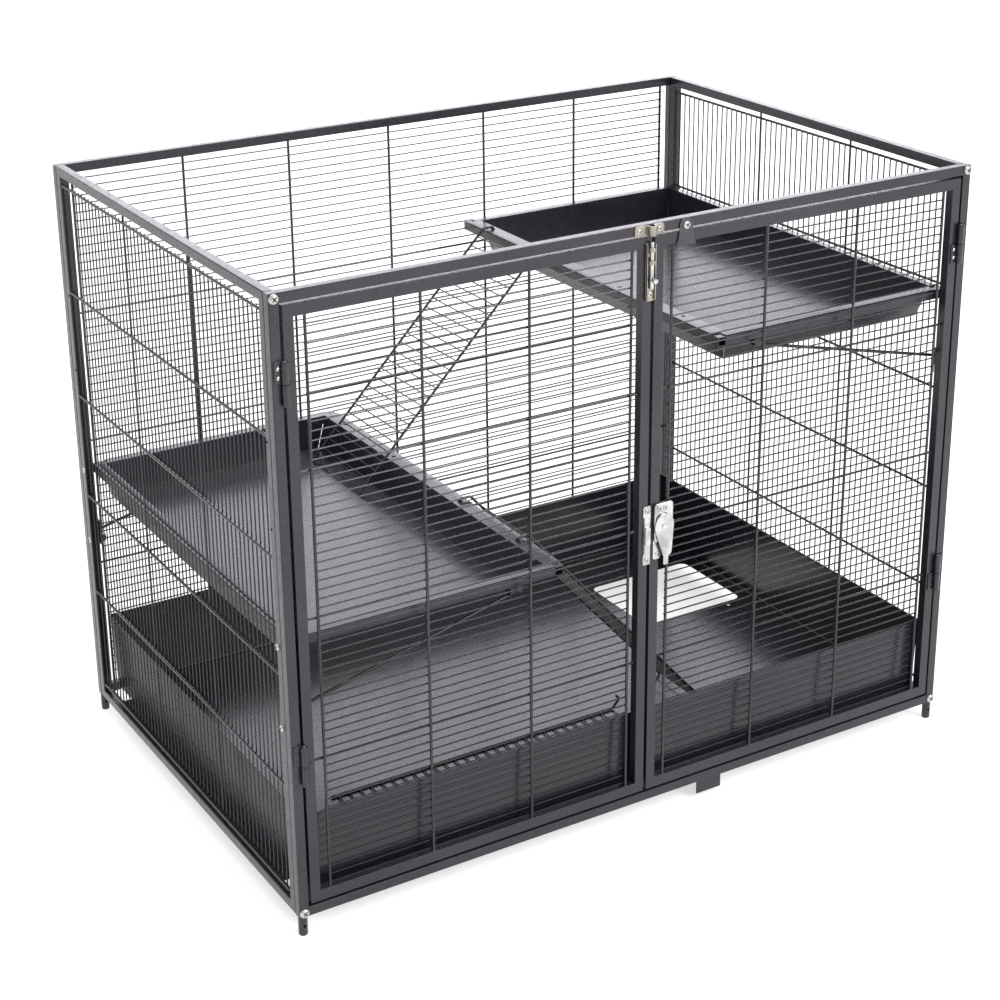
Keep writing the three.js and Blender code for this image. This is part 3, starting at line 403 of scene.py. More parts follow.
def bends(points, radius, steps=5):
    """The path with each inner corner turned into an arc of that radius."""
    points = [Vector(p) for p in points]
    path = [points[0]]
    for before, corner, after in zip(points, points[1:], points[2:]):
        into = (corner - before).normalized()
        out = (after - corner).normalized()
        half = into.angle(out) / 2
        if half < 1e-3:
            path.append(corner)
            continue
        reach = min(
            radius * math.tan(half), (corner - before).length * 0.49, (after - corner).length * 0.49
        )
        start, end = corner - into * reach, corner + out * reach
        for k in range(steps + 1):
            t = k / steps
            path.append(start.lerp(corner, t).lerp(corner.lerp(end, t), t))
    path.append(points[-1])
    return path


def circle(count):
    """A circle of radius 1."""
    turns = [2 * math.pi * k / count for k in range(count)]
    return [(math.cos(t), math.sin(t)) for t in turns]


def wire(bm, points, diameter, sides, radius=0.0):
    """A round wire through points, with slightly domed ends."""
    path = bends(points, radius) if radius else [Vector(p) for p in points]
    r = diameter / 2
    ways = [(b - a).normalized() for a, b in zip(path, path[1:])]
    ways.append(ways[-1])
    side = ways[0].orthogonal().normalized()
    rings = []
    for index, point in enumerate(path):
        way = ways[index] if index == 0 else (ways[index - 1] + ways[index]).normalized()
        side = (side - way * side.dot(way)).normalized()
        other = way.cross(side)
        ring = [point + (side * c + other * s) * r for c, s in circle(sides)]
        if index == 0:
            rings.append([point - way * r * 0.3 + (v - point) * 0.65 for v in ring])
        rings.append(ring)
        if index == len(path) - 1:
            rings.append([point + way * r * 0.3 + (v - point) * 0.65 for v in ring])
    loft(bm, rings)


def spin(bm, profile, origin, way, segments=24):
    """A turned form: (radius, height) points about an axis from origin along way."""
    way = Vector(way).normalized()
    origin = Vector(origin)
    side = way.orthogonal().normalized()
    other = way.cross(side)
    rings = []
    for r, height in profile:
        middle = origin + way * height
        r = max(r, 0.01)
        rings.append([middle + (side * c + other * s) * r for c, s in circle(segments)])
    loft(bm, rings)


def slab(bm, outline, low, high, normal="y"):
    """A flat outline given thickness along an axis: (x, z) for y, (x, y) for z, (y, z) for x."""
    put = {
        "x": lambda u, v, w: (w, u, v),
        "y": lambda u, v, w: (u, w, v),
        "z": lambda u, v, w: (u, v, w),
    }[normal]
    loft(bm, [[put(u, v, w) for u, v in outline] for w in (low, high)])


def box(bm, x, y, z):
    """A block between two values on each axis."""
    slab(bm, [(x[0], y[0]), (x[1], y[0]), (x[1], y[1]), (x[0], y[1])], z[0], z[1], "z")


def arc(cx, cy, rx, ry, start, end, steps):
    """Points of an ellipse's arc, angles in degrees."""
    turns = [math.radians(start + (end - start) * k / steps) for k in range(steps + 1)]
    return [(cx + rx * math.cos(t), cy + ry * math.sin(t)) for t in turns]


def rounded_rectangle(x, y, r, steps=5):
    """An outline from x[0] to x[1] and y[0] to y[1] with its corners rounded by r."""
    outline = []
    corners = ((x[1], y[0], -90), (x[1], y[1], 0), (x[0], y[1], 90), (x[0], y[0], 180))
    for cx, cy, start in corners:
        mx = cx - r if cx == x[1] else cx + r
        my = cy - r if cy == y[1] else cy + r
        outline += arc(mx, my, r, r, start, start + 90, steps)
    return outline


def rounded_profile(width, depth, r):
    """Section of a square tube, from (0, 0) to (width, depth)."""
    return rounded_rectangle((0.0, width), (0.0, depth), r, 3)


def rounded_section(width, depth, r):
    """The tube's section with its width counted from 0 to 1."""
    return [(a / width, b) for a, b in rounded_profile(width, depth, r)]


def tube_ring(bm, x, z, widths, y, r=TUBE_EDGE):
    """A welded ring of square tube seen face on, mitred; widths are of posts and of rails."""
    section = rounded_section(widths[0], y[1] - y[0], r)
    corners = ((x[0], z[0], 1, 1), (x[1], z[0], -1, 1), (x[1], z[1], -1, -1), (x[0], z[1], 1, -1))
    rings = [
        [(cx + sx * a * widths[0], y[0] + b, cz + sz * a * widths[1]) for a, b in section]
        for cx, cz, sx, sz in corners
    ]
    rows = loft(bm, rings, caps=False)
    for i in range(len(section)):
        j = (i + 1) % len(section)
        bm.faces.new((rows[-1][i], rows[-1][j], rows[0][j], rows[0][i]))


def straight_tube(bm, start, end, wall=0.0):
    """A level square tube between two points. With a wall it is open at both ends."""
    start, end = Vector(start), Vector(end)
    way = (end - start).normalized()
    up = Vector(UP)
    across = way.cross(up).normalized()

    def ring(point, shape):
        return [point + across * a + up * b for a, b in shape]

    half = TUBE / 2
    outline = [(a - half, b - half) for a, b in rounded_profile(TUBE, TUBE, TUBE_EDGE)]
    if not wall:
        loft(bm, [ring(start, outline), ring(end, outline)])
        return
    bore = TUBE - 2 * wall
    inner = [
        (a - half + wall, b - half + wall)
        for a, b in rounded_profile(bore, bore, TUBE_EDGE - wall * 0.5)
    ]
    depth = way * OPEN_DEPTH
    rings = [
        ring(start + depth, inner), ring(start, inner), ring(start, outline),
        ring(end, outline), ring(end, inner), ring(end - depth, inner),
    ]
    loft(bm, rings)


def fill(bm, loops):
    """A flat face with holes: the first loop is its outline."""
    edges = []
    for loop in loops:
        for a, b in zip(loop, loop[1:] + loop[:1]):
            edges.append(bm.edges.get((a, b)) or bm.edges.new((a, b)))
    bmesh.ops.triangle_fill(bm, use_beauty=True, use_dissolve=False, edges=edges)


def mirror(bm):
    """The drawing of the right side turned into that of the left one."""
    bmesh.ops.scale(bm, vec=(-1, 1, 1), verts=bm.verts)
    bmesh.ops.reverse_faces(bm, faces=bm.faces)


def linked(name, bm, material, place):
    """The drawing moved by place and put into the scene, in metres."""
    bmesh.ops.transform(bm, matrix=Matrix.Scale(MM, 4) @ place, verts=bm.verts)
    mesh = bpy.data.meshes.new(name)
    bm.to_mesh(mesh)
    bm.free()
    mesh.materials.append(material)
    made = bpy.data.objects.new(name, mesh)
    bpy.context.scene.collection.objects.link(made)
    return made


def piece(name, bm, material, body, nodes=(), side=1, turn=0.0, rise=0.0,
          bevel=0.0, thickness=0.0, outward=True):
    """Turns a drawing into a piece that rides on a body and stands for its CAD nodes."""
    if outward:
        bmesh.ops.recalc_face_normals(bm, faces=bm.faces)
    if side < 0:
        mirror(bm)
    place = Matrix.Translation((0, 0, FOOT_HEIGHT + rise)) @ Matrix.Rotation(turn, 4, "Z")
    made = linked(name, bm, material, place)
    made.data.shade_smooth()
    made.data.set_sharp_from_angle(angle=SHARP)
    if thickness:
        sheet = made.modifiers.new("sheet", "SOLIDIFY")
        sheet.thickness = thickness * MM
        sheet.offset = -1.0
    if bevel:
        rounding = made.modifiers.new("rounding", "BEVEL")
        rounding.width = bevel * MM
        rounding.segments = 3
        rounding.limit_method = "ANGLE"
        rounding.angle_limit = math.radians(40)
        rounding.use_clamp_overlap = True
    evened = made.modifiers.new("normals", "WEIGHTED_NORMAL")
    evened.keep_sharp = True
    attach(made, body)
    if nodes:
        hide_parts(*nodes)
    return made


# ------------------------------------------------------------------ frame and grilles
def levels(start, pitch, count):
    """Evenly spaced heights."""
    return [start + pitch * index for index in range(count)]


def ladder(bm, uprights, span, wires, first_cross, cross_span):
    """Thick uprights with thin level wires behind them and longer cross wires."""
    y = FRONT + THICK_PLANE
    for x in uprights:
        wire(bm, [(x, y, span[0]), (x, y, span[1])], THICK, THICK_SIDES)
    wire_span = (uprights[0] - WIRE_PAST, uprights[-1] + WIRE_PAST)
    crosses = wires[first_cross::CROSS_EVERY]
    for z in wires:
        cross = z in crosses
        y = FRONT + (CROSS_PLANE if cross else THIN_PLANE)
        reach = cross_span if cross else wire_span
        wire(bm, [(reach[0], y, z), (reach[1], y, z)], CROSS if cross else THIN, THIN_SIDES)


def build_frames():
    """The rings of the front and the back, and the back's grille."""
    for place, nodes in (("front", ["front_frame"]), ("back", ["back_frame"])):
        bm = bmesh.new()
        tube_ring(bm, (-HALF_WIDTH, HALF_WIDTH), (0, HEIGHT), (TUBE, TUBE), (FRONT, FRONT + TUBE))
        piece(f"{place}_frame_tubes", bm, FRAME_PAINT, "root", nodes, turn=TURN[place])
    bm = bmesh.new()
    wires = levels(BACK_WIRE_START, -BACK_WIRE_PITCH, BACK_WIRES)
    ladder(bm, BACK_UPRIGHTS, (TUBE, INNER_TOP), wires, BACK_CROSS_FIRST, (-INNER_X, INNER_X))
    piece("back_grille_wires", bm, WIRE_PAINT, "root", ["back_grille"], turn=TURN["back"])


def build_sides():
    """The sides, drawn as a front panel: ring, hidden ledge for the tray, and grille."""
    face = -HALF_WIDTH
    for place, side in (("left", -1), ("right", 1)):
        bm = bmesh.new()
        tube_ring(
            bm, (-SIDE_HALF_DEPTH, SIDE_HALF_DEPTH), (0, HEIGHT), (TUBE, TUBE), (face, face + TUBE)
        )
        tubes = piece(
            f"{place}_side_tubes", bm, FRAME_PAINT, "root", [f"{place}_side_frame"],
            turn=TURN[place],
        )
        drill_posts(tubes, side)
        bm = bmesh.new()
        depth = (face + TUBE - LEDGE_BITE, face + TUBE + LEDGE_REACH)
        box(bm, (-LEDGE_HALF, LEDGE_HALF), depth, LEDGE_LEVELS)
        piece(f"{place}_tray_ledge", bm, FRAME_PAINT, "root", turn=TURN[place], bevel=0.4)
        bm = bmesh.new()
        side_wires(bm, face)
        piece(
            f"{place}_side_wires", bm, WIRE_PAINT, "root", [f"{place}_side_grille"],
            turn=TURN[place],
        )


def side_wires(bm, face):
    """Level bars on the outside with thin uprights behind them, two of them longer."""
    inner = SIDE_HALF_DEPTH - TUBE
    places = [(index - (SIDE_WIRES - 1) / 2) * SIDE_WIRE_PITCH for index in range(SIDE_WIRES)]
    last = places[-1] + END_BAR_PAST
    for z in SIDE_BARS:
        end = last if z in (SIDE_BARS[0], SIDE_BARS[-1]) else inner
        y = face + THICK_PLANE
        wire(bm, [(-end, y, z), (end, y, z)], THICK, THICK_SIDES)
    thin_span = (SIDE_BARS[0] - SIDE_WIRE_PAST, SIDE_BARS[-1] + SIDE_WIRE_PAST)
    for x in places:
        cross = abs(abs(x) - SIDE_CROSS) < SIDE_CROSS_SLACK
        y = face + (CROSS_PLANE if cross else THIN_PLANE)
        low, high = (TUBE, INNER_TOP) if cross else thin_span
        wire(bm, [(x, y, low), (x, y, high)], CROSS if cross else THIN, THIN_SIDES)


def drill_posts(tubes, side):
    """The screw holes for shelves at the heights that this side doesn't use."""
    rim = LOWER_RIM if side > 0 else UPPER_RIM
    bm = bmesh.new()
    for z in (rim - SHELF_SCREW_DROP, rim - STRUT_SCREW_DROP):
        for y in (-SCREW_Y, SCREW_Y):
            for x in (HALF_WIDTH - POST_HOLE_INSET, INNER_X + POST_HOLE_INSET):
                spin(bm, POST_HOLE, (side * x, y, z), (1, 0, 0), 16)
    drill(tubes, bm)


def drill(target, bm):
    """Cuts the drawing out of a piece; the cut's walls take the near-black painted-shade material.
    """
    bmesh.ops.recalc_face_normals(bm, faces=bm.faces)
    tool = linked("drill", bm, PAINTED_SHADE, Matrix.Translation((0, 0, FOOT_HEIGHT)))
    target.data.materials.append(PAINTED_SHADE)
    cut = target.modifiers.new("cut", "BOOLEAN")
    cut.operation = "DIFFERENCE"
    cut.solver = "EXACT"
    cut.material_mode = "TRANSFER"
    cut.object = tool
    graph = bpy.context.evaluated_depsgraph_get()
    mesh = bpy.data.meshes.new_from_object(target.evaluated_get(graph), depsgraph=graph)
    target.modifiers.remove(cut)
    target.data = mesh
    mesh.set_sharp_from_angle(angle=SHARP)
    bpy.data.objects.remove(tool)


# ------------------------------------------------------------------ feet, bolts and screws
def screw_head(bm, origin, way, width, height):
    """A domed head."""
    r = width / 2
    dome = [(r, 0.0), (r, height * 0.28), (r * 0.96, height * 0.5), (r * 0.8, height * 0.8),
            (r * 0.52, height * 0.95), (0.0, height * 0.97)]
    spin(bm, [(r * 0.98, -0.05), *dome], origin, way)


def recess(bm, origin, way, width, height):
    """The recess on a screw's crown as a dark cross of painted shade, a shade proud of the crown so
    that it shows.
    """
    origin = Vector(origin)
    way = Vector(way).normalized()
    side = way.orthogonal().normalized()
    length, breadth = width * 0.27, width * 0.055
    for arm in (side, way.cross(side)):
        across = way.cross(arm)
        corners = [
            arm * length + across * breadth, arm * length - across * breadth,
            arm * -length - across * breadth, arm * -length + across * breadth,
        ]
        low = [origin + c + way * height * 0.8 for c in corners]
        high = [origin + c + way * height for c in corners]
        loft(bm, [low, high])


def fasteners(name, origins, way, head, body, nodes=()):
    """Screws of one kind that share a body and a way; head is their width and height."""
    heads, marks = bmesh.new(), bmesh.new()
    for origin in origins:
        screw_head(heads, origin, way, *head)
        recess(marks, origin, way, *head)
    piece(name, heads, ZINC, body, nodes)
    # The recess crosses carry painted shade
    piece(f"{name}_recess", marks, PAINTED_SHADE, body)


def build_corners():
    """At each corner a foot with its cross hole, and the two bolts above it."""
    for end, along in (("front", -1), ("rear", 1)):
        for name, side in (("left", -1), ("right", 1)):
            bm = bmesh.new()
            x, y = side * POST_X, along * POST_Y
            spin(bm, FOOT, (x, y, -FOOT_HEIGHT), UP, 32)
            foot = piece(f"{end}_{name}_foot", bm, FRAME_PAINT, "root", [f"foot_{end}_{name}"])
            bm = bmesh.new()
            spin(bm, FOOT_HOLE, (x, y, FOOT_HOLE_LEVEL), (0, 1, 0), 20)
            drill(foot, bm)
            origins = [(x, along * HALF_DEPTH, z) for z in (TUBE / 2, HEIGHT - TUBE / 2)]
            nodes = [f"corner_bolt_{end}_{name}_{level}" for level in ("bottom", "top")]
            fasteners(
                f"{end}_{name}_corner_bolts", origins, (0, along, 0), CORNER_BOLT, "root", nodes
            )


# ------------------------------------------------------------------ doors
def build_door(name, side):
    """A door's ring of tube, its grille, and the welds where uprights meet the rails."""
    body = f"{name}_door"
    bm = bmesh.new()
    tube_ring(
        bm, (DOOR_INNER, DOOR_OUTER), (DOOR_BOTTOM, DOOR_TOP), (STILE, RAIL),
        (FRONT, FRONT + TUBE), DOOR_EDGE,
    )
    piece(f"{name}_door_tubes", bm, FRAME_PAINT, body, [f"{name}_door_frame"], side=side)
    low, high = DOOR_BOTTOM + RAIL, DOOR_TOP - RAIL
    bm = bmesh.new()
    wires = levels(DOOR_WIRE_START, DOOR_WIRE_PITCH, DOOR_WIRES)
    cross_span = (DOOR_INNER + STILE, DOOR_OUTER - STILE)
    ladder(bm, DOOR_UPRIGHTS, (low, high), wires, DOOR_CROSS_FIRST, cross_span)
    piece(f"{name}_door_wires", bm, WIRE_PAINT, body, [f"{name}_door_grille"], side=side)
    bm = bmesh.new()
    for x in DOOR_UPRIGHTS:
        for z, along in ((low, 1), (high, -1)):
            spin(bm, WELD, (x, FRONT + THICK_PLANE, z), (0, 0, along), 12)
    piece(f"{name}_door_welds", bm, FRAME_PAINT, body, side=side)


def build_hinge(name, side, level, bottom):
    """A lift-off hinge: the upper knuckle with its leaf on the frame, the lower on the door."""
    for part, body, low, out in (
        ("frame", "root", BARREL - KNUCKLE, 1),
        ("door", f"{name}_door", 0.0, -1),
    ):
        label = f"{name}_{level}_hinge_{part}"
        start, end = bottom + low, bottom + low + KNUCKLE
        bm = bmesh.new()
        spin(bm, HINGE_BARREL, (HINGE_X, HINGE_Y, start), UP, 28)
        piece(f"{label}_barrel", bm, FRAME_PAINT, body, [f"{label}_leaf"], side=side)
        bm = bmesh.new()
        spin(bm, PIN_END, (HINGE_X, HINGE_Y, end if out > 0 else start), (0, 0, out), 20)
        piece(f"{label}_pin", bm, ZINC, body, side=side)
        bm = bmesh.new()
        x = sorted((HINGE_X, HINGE_X + out * LEAF_REACH))
        slab(bm, rounded_rectangle(x, (start + 0.2, end - 0.2), 1.5), LEAF_FACE, FRONT)
        piece(f"{label}_plate", bm, FRAME_PAINT, body, side=side, bevel=0.35)
        bm = bmesh.new()
        for away in RIVET_LEVELS:
            z = bottom + BARREL / 2 + out * away
            spin(bm, RIVET, (HINGE_X + out * RIVET_X, LEAF_FACE, z), OUT, 18)
        # Bright zinc only on the upper hinges' frame leaf on the left and door leaf on the right,
        # where glints show: painted glints; the same rivets elsewhere take the frame's paint
        painted_glint = level == "upper" and out == -side
        piece(f"{label}_rivets", bm, ZINC if painted_glint else FRAME_PAINT, body, side=side)


# ------------------------------------------------------------------ hardware
def strap(inside, wall, reach):
    """Outline in x and y of a strip bent over the bolt's rod, with a wing to each side."""
    outer = inside + wall
    left, right = BOLT_X - outer - 0.8, BOLT_X + outer + 0.8
    outline = [(BOLT_X - reach, FRONT), (BOLT_X - reach, PLATE_FACE), (left, PLATE_FACE)]
    outline += arc(BOLT_X, ROD_Y, outer, outer, 180, 360, 18)
    outline += [(right, PLATE_FACE), (BOLT_X + reach, PLATE_FACE), (BOLT_X + reach, FRONT)]
    outline += [(BOLT_X + inside, FRONT)]
    outline += arc(BOLT_X, ROD_Y, inside, inside, 360, 180, 18)
    outline += [(BOLT_X - inside, FRONT)]
    return outline


def build_bolt():
    """The tower bolt on the left door: plate, side flanges, guides, and the rod with its knob."""
    left, right = BOLT_X - BOLT_HALF, BOLT_X + BOLT_HALF
    bm = bmesh.new()
    slab(bm, rounded_rectangle((left, right), BOLT_LEVELS, 2), PLATE_FACE, FRONT)
    piece("bolt_base", bm, STEEL, "left_door", ["bolt_plate"], bevel=0.4)
    bm = bmesh.new()
    for x in (left, right - FLANGE):
        outline = rounded_rectangle((x, x + FLANGE), FLANGE_LEVELS, 0.4)
        slab(bm, outline, FLANGE_FACE, PLATE_FACE)
    piece("bolt_flanges", bm, STEEL, "left_door", bevel=0.35)
    bm = bmesh.new()
    for z in GUIDE_LEVELS:
        slab(bm, strap(inside=2.8, wall=1.4, reach=5.2), z - GUIDE_HALF, z + GUIDE_HALF, "z")
    piece("bolt_guides", bm, STEEL, "left_door", bevel=0.25)
    origins = [(BOLT_X, PLATE_FACE, z) for z in BOLT_SCREW_LEVELS]
    fasteners("bolt_screws", origins, OUT, BOLT_SCREW, "left_door")
    bm = bmesh.new()
    spin(bm, ROD, (BOLT_X, ROD_Y, ROD_FOOT), UP)
    spin(bm, KNOB, (BOLT_X, ROD_Y, KNOB_LEVEL), OUT)
    piece("bolt_shaft", bm, CHROME, "tower_bolt", ["bolt_rod"])


def build_keeper():
    """A strap over the bolt's rod, with a round-cornered wing on each side."""
    left, right = KEEPER_X
    bm = bmesh.new()
    slab(bm, strap(inside=3.4, wall=1.5, reach=6.5), *KEEPER_STRAP_LEVELS, "z")
    for x in ((left, BOLT_X - KEEPER_GAP), (BOLT_X + KEEPER_GAP, right)):
        slab(bm, rounded_rectangle(x, KEEPER_WING_LEVELS, 3.2), PLATE_FACE, FRONT)
    piece("keeper_strap", bm, STEEL, "root", ["bolt_keeper"], bevel=0.3)
    places = (left + KEEPER_SCREW_INSET, right - KEEPER_SCREW_INSET)
    origins = [(x, PLATE_FACE, KEEPER_SCREW_LEVEL) for x in places]
    fasteners("keeper_screws", origins, OUT, KEEPER_SCREW, "root")


def build_strike():
    """The strike plate on the left door: an eared plate with a hump in two steps."""
    bm = bmesh.new()
    ears = [(-9.0, 388.0), (-9.0, 399.6), (-8.0, 400.6), (0.5, 400.6), (1.5, 399.6), (1.5, 326.0),
            (0.5, 325.0), (-8.0, 325.0), (-9.0, 326.0), (-9.0, 338.0), (-7.6, 339.4), (-7.6, 386.6)]
    slab(bm, ears, PLATE_FACE, FRONT)
    piece("strike_base", bm, CHROME, "left_door", ["strike_plate"], bevel=0.4)
    bm = bmesh.new()
    slab(bm, rounded_rectangle((-7.2, -0.3), (341, 385), 1.2), PLATE_FACE - 1.0, PLATE_FACE)
    slab(bm, rounded_rectangle((-7.5, 0.0), (350.8, 374.8), 2.5), PLATE_FACE - 3.0, PLATE_FACE)
    piece("strike_hump", bm, CHROME, "left_door", bevel=0.8)
    origins = [(STRIKE_SCREW_X, PLATE_FACE, z) for z in STRIKE_SCREW_LEVELS]
    fasteners("strike_screws", origins, OUT, LATCH_SCREW, "left_door")


def build_latch():
    """The latch on the right door: raised housing, hanging strip, pivot and turning lever."""
    pivot_x, pivot_z = PIVOT
    bm = bmesh.new()
    slab(bm, rounded_rectangle((5.5, 32.0), (352, 402), 4), HOUSE_FACE, FRONT)
    piece("latch_house", bm, CHROME, "right_door", ["latch_body"], bevel=1.3)
    bm = bmesh.new()
    slab(bm, rounded_rectangle((5.5, 16.5), (329, 372), 3), PLATE_FACE, FRONT)
    piece("latch_strip", bm, CHROME, "right_door", bevel=0.5)
    bm = bmesh.new()
    spin(bm, PIVOT_PIN, (pivot_x, HOUSE_FACE, pivot_z), OUT, 20)
    spin(bm, PIVOT_CAP, (pivot_x, HOUSE_FACE, pivot_z), OUT, 28)
    piece("latch_pivot", bm, CHROME, "right_door")
    origins = [(11.7, HOUSE_FACE, 396), (20.3, HOUSE_FACE, 396), (11.7, PLATE_FACE, 336)]
    fasteners("latch_screws", origins, OUT, LATCH_SCREW, "right_door")
    bm = bmesh.new()
    head = arc(pivot_x, pivot_z, 13.6, 17, 0, 220, 44)
    tongue = [(17.1, 333.0), (17.1, 323.2), (17.6, 322.2), (18.4, 322.0), (22.9, 322.0),
              (23.7, 322.2), (24.1, 323.2), (24.1, 331.2)]
    step = [(24.5, 332.3), (27.4, 335.0), (28.4, 336.2), (28.9, 338.2)]
    slab(bm, [*tongue, *step, *head], *LEVER_FACES)
    piece("latch_handle", bm, CHROME, "latch", ["latch_lever"], bevel=0.6)


def build_tabs():
    """The swing tab over the door's rail with its screw, and the bent tab under the frame."""
    bm = bmesh.new()
    curve = ((58.0, 713.0), (53.5, 723.0), (53.0, TAB_LEVEL))
    flank = []
    for k in range(1, 9):
        t = k / 9
        ways = ((1 - t) ** 2 * a + 2 * t * (1 - t) * b + t * t * c for a, b, c in zip(*curve))
        flank.append(tuple(ways))
    outline = [(30.0, 713.0), (58.0, 713.0), *flank]
    outline += arc(TAB_X, TAB_LEVEL, TAB_HALF, TAB_HALF, 0, 180, 24)
    outline += [(2 * TAB_X - x, z) for x, z in reversed(flank)]
    slab(bm, outline, *TAB_FACES)
    piece("swing_cover", bm, TAB_PAINT, "swing_tab", ["swing_tab"], bevel=0.35)
    origins = [(TAB_X, TAB_SCREW_FACE, TAB_LEVEL)]
    fasteners("swing_cover_screw", origins, OUT, TAB_SCREW, "root", ["swing_tab_screw"])
    bm = bmesh.new()
    outline = [(-304.0, 0.0), (-304.0, -2.0), (-310.4, -2.0), (-311.0, -2.6), (-311.0, -18.0),
               (-313.0, -18.0), (-313.0, -1.2), (-312.6, -0.4), (-311.8, 0.0)]
    slab(bm, outline, 82.5, 119.5, "x")
    piece("bottom_bracket", bm, FRAME_PAINT, "root", ["bottom_tab"], bevel=0.3)


# ------------------------------------------------------------------ shelves
def corner_pairs(x, y, gap):
    """A rectangle with two points near each corner, walls first: front, right, back, left."""
    return [
        (x[0] + gap, y[0]), (x[1] - gap, y[0]), (x[1], y[0] + gap), (x[1], y[1] - gap),
        (x[1] - gap, y[1]), (x[0] + gap, y[1]), (x[0], y[1] - gap), (x[0], y[0] + gap),
    ]


def shelf_pan(bm):
    """The top side of the folded sheet: lip with notched corners and holes, walls, floor."""
    x0, x1, y1, n = SHELF_FREE, LIP_WALL, SHELF_HALF, LIP_NOTCH
    outer = [
        (x0 + n, -y1), (x1 - n, -y1), (x1 - n, n - y1), (x1, n - y1), (x1, y1 - n),
        (x1 - n, y1 - n), (x1 - n, y1), (x0 + n, y1), (x0 + n, y1 - n), (x0, y1 - n),
        (x0, n - y1), (x0 + n, n - y1),
    ]
    top = corner_pairs(*PAN_MOUTH, PAN_SEAM)
    low = corner_pairs(*PAN_FLOOR, PAN_SEAM)
    outline = [bm.verts.new((x, y, 0.0)) for x, y in outer]
    mouth = [bm.verts.new((x, y, 0.0)) for x, y in top]
    floor = [bm.verts.new((x, y, -PAN_DEPTH)) for x, y in low]
    holes = []
    for y in RAMP_HOLES:
        ring = arc(RAMP_HOLE_X, y, RAMP_HOLE / 2, RAMP_HOLE / 2, 0, 360, 16)[:-1]
        holes.append([bm.verts.new((x, v, 0.0)) for x, v in ring])
    fill(bm, [outline, mouth, *holes])
    bm.faces.new(floor)
    for i in range(0, len(mouth), 2):
        bm.faces.new((mouth[i], floor[i], floor[i + 1], mouth[i + 1]))
    for face in bm.faces:
        face.normal_update()
        towards = Vector((295.0, 0.0, 30.0)) - face.calc_center_median()
        if abs(face.normal.z) > 0.9:
            towards = Vector((0, 0, 1))
        if face.normal.dot(towards) < 0:
            face.normal_flip()
    folds = [
        e for e in bm.edges
        if len(e.link_faces) == 2 and e.calc_face_angle(0.0) > math.radians(20)
    ]
    bmesh.ops.bevel(
        bm, geom=folds, offset=1.6, segments=3, profile=0.5, affect="EDGES", clamp_overlap=True
    )


def build_shelf(name, rim, side):
    """A shelf's tubes and pan, with its struts and the screws through the posts."""
    middle = (BAR_TOP + BAR_BOTTOM) / 2
    half = TUBE / 2
    bm = bmesh.new()
    for x, wall in ((SHELF_FREE + half, SHELF_TUBE_WALL), (BAR_FACE - half, 0.0)):
        straight_tube(bm, (x, -SHELF_HALF, middle), (x, SHELF_HALF, middle), wall)
    start, end = SHELF_FREE + TUBE - 0.6, BAR_FACE - TUBE + 0.6
    for y in (half - SHELF_HALF, SHELF_HALF - half):
        straight_tube(bm, (start, y, middle), (end, y, middle))
    piece(
        f"{name}_shelf_tubes", bm, FRAME_PAINT, "root", [f"{name}_shelf_frame"], side=side, rise=rim
    )
    bm = bmesh.new()
    shelf_pan(bm)
    piece(
        f"{name}_shelf_sheet", bm, PAN, "root", [f"{name}_shelf_pan"], side=side, rise=rim,
        thickness=SHEET, outward=False,
    )
    for end, along in (("front", -1), ("rear", 1)):
        build_strut(f"{name}_{end}_strut", along, rim, side)
        for use, drop in (("shelf", SHELF_SCREW_DROP), ("strut", STRUT_SCREW_DROP)):
            fasteners(
                f"{name}_{end}_{use}_fastener",
                [(side * HALF_WIDTH, along * SCREW_Y, rim - drop)],
                (side, 0, 0), SHELF_SCREW, "root", [f"{name}_{end}_{use}_screw"],
            )


def build_strut(name, along, rim, side):
    """A wire from the post to the shelf's underside, with its end plates and nut."""
    y, screw_y = along * STRUT_Y, along * SCREW_Y
    start, tip = BAR_FACE - 1.2, BAR_FACE - STRUT_REACH
    low, high = STRUT_LEVELS
    bm = bmesh.new()
    wire(bm, [(start, y, low), (tip, y, high)], STRUT_WIRE, 14)
    piece(f"{name}_wire", bm, WIRE_PAINT, "root", [name], side=side, rise=rim)
    bm = bmesh.new()
    bracket = rounded_rectangle((screw_y - 6.5, screw_y + 6.5), (-116.0, -82.0), 2.0)
    slab(bm, bracket, BAR_FACE - 2.4, BAR_FACE, "x")
    slab(bm, rounded_rectangle((y - 6.0, y + 6.0), (-22.0, -13.6), 0.8), tip - 1.0, tip + 15.0, "x")
    piece(f"{name}_plates", bm, WIRE_PAINT, "root", side=side, rise=rim, bevel=0.35)
    bm = bmesh.new()
    nut = arc(screw_y, -STRUT_SCREW_DROP, 5.6, 5.6, 0, 360, 6)[:-1]
    slab(bm, nut, BAR_FACE - 8.4, BAR_FACE - 2.2, "x")
    piece(f"{name}_nut", bm, ZINC, "root", side=side, rise=rim, bevel=0.4)


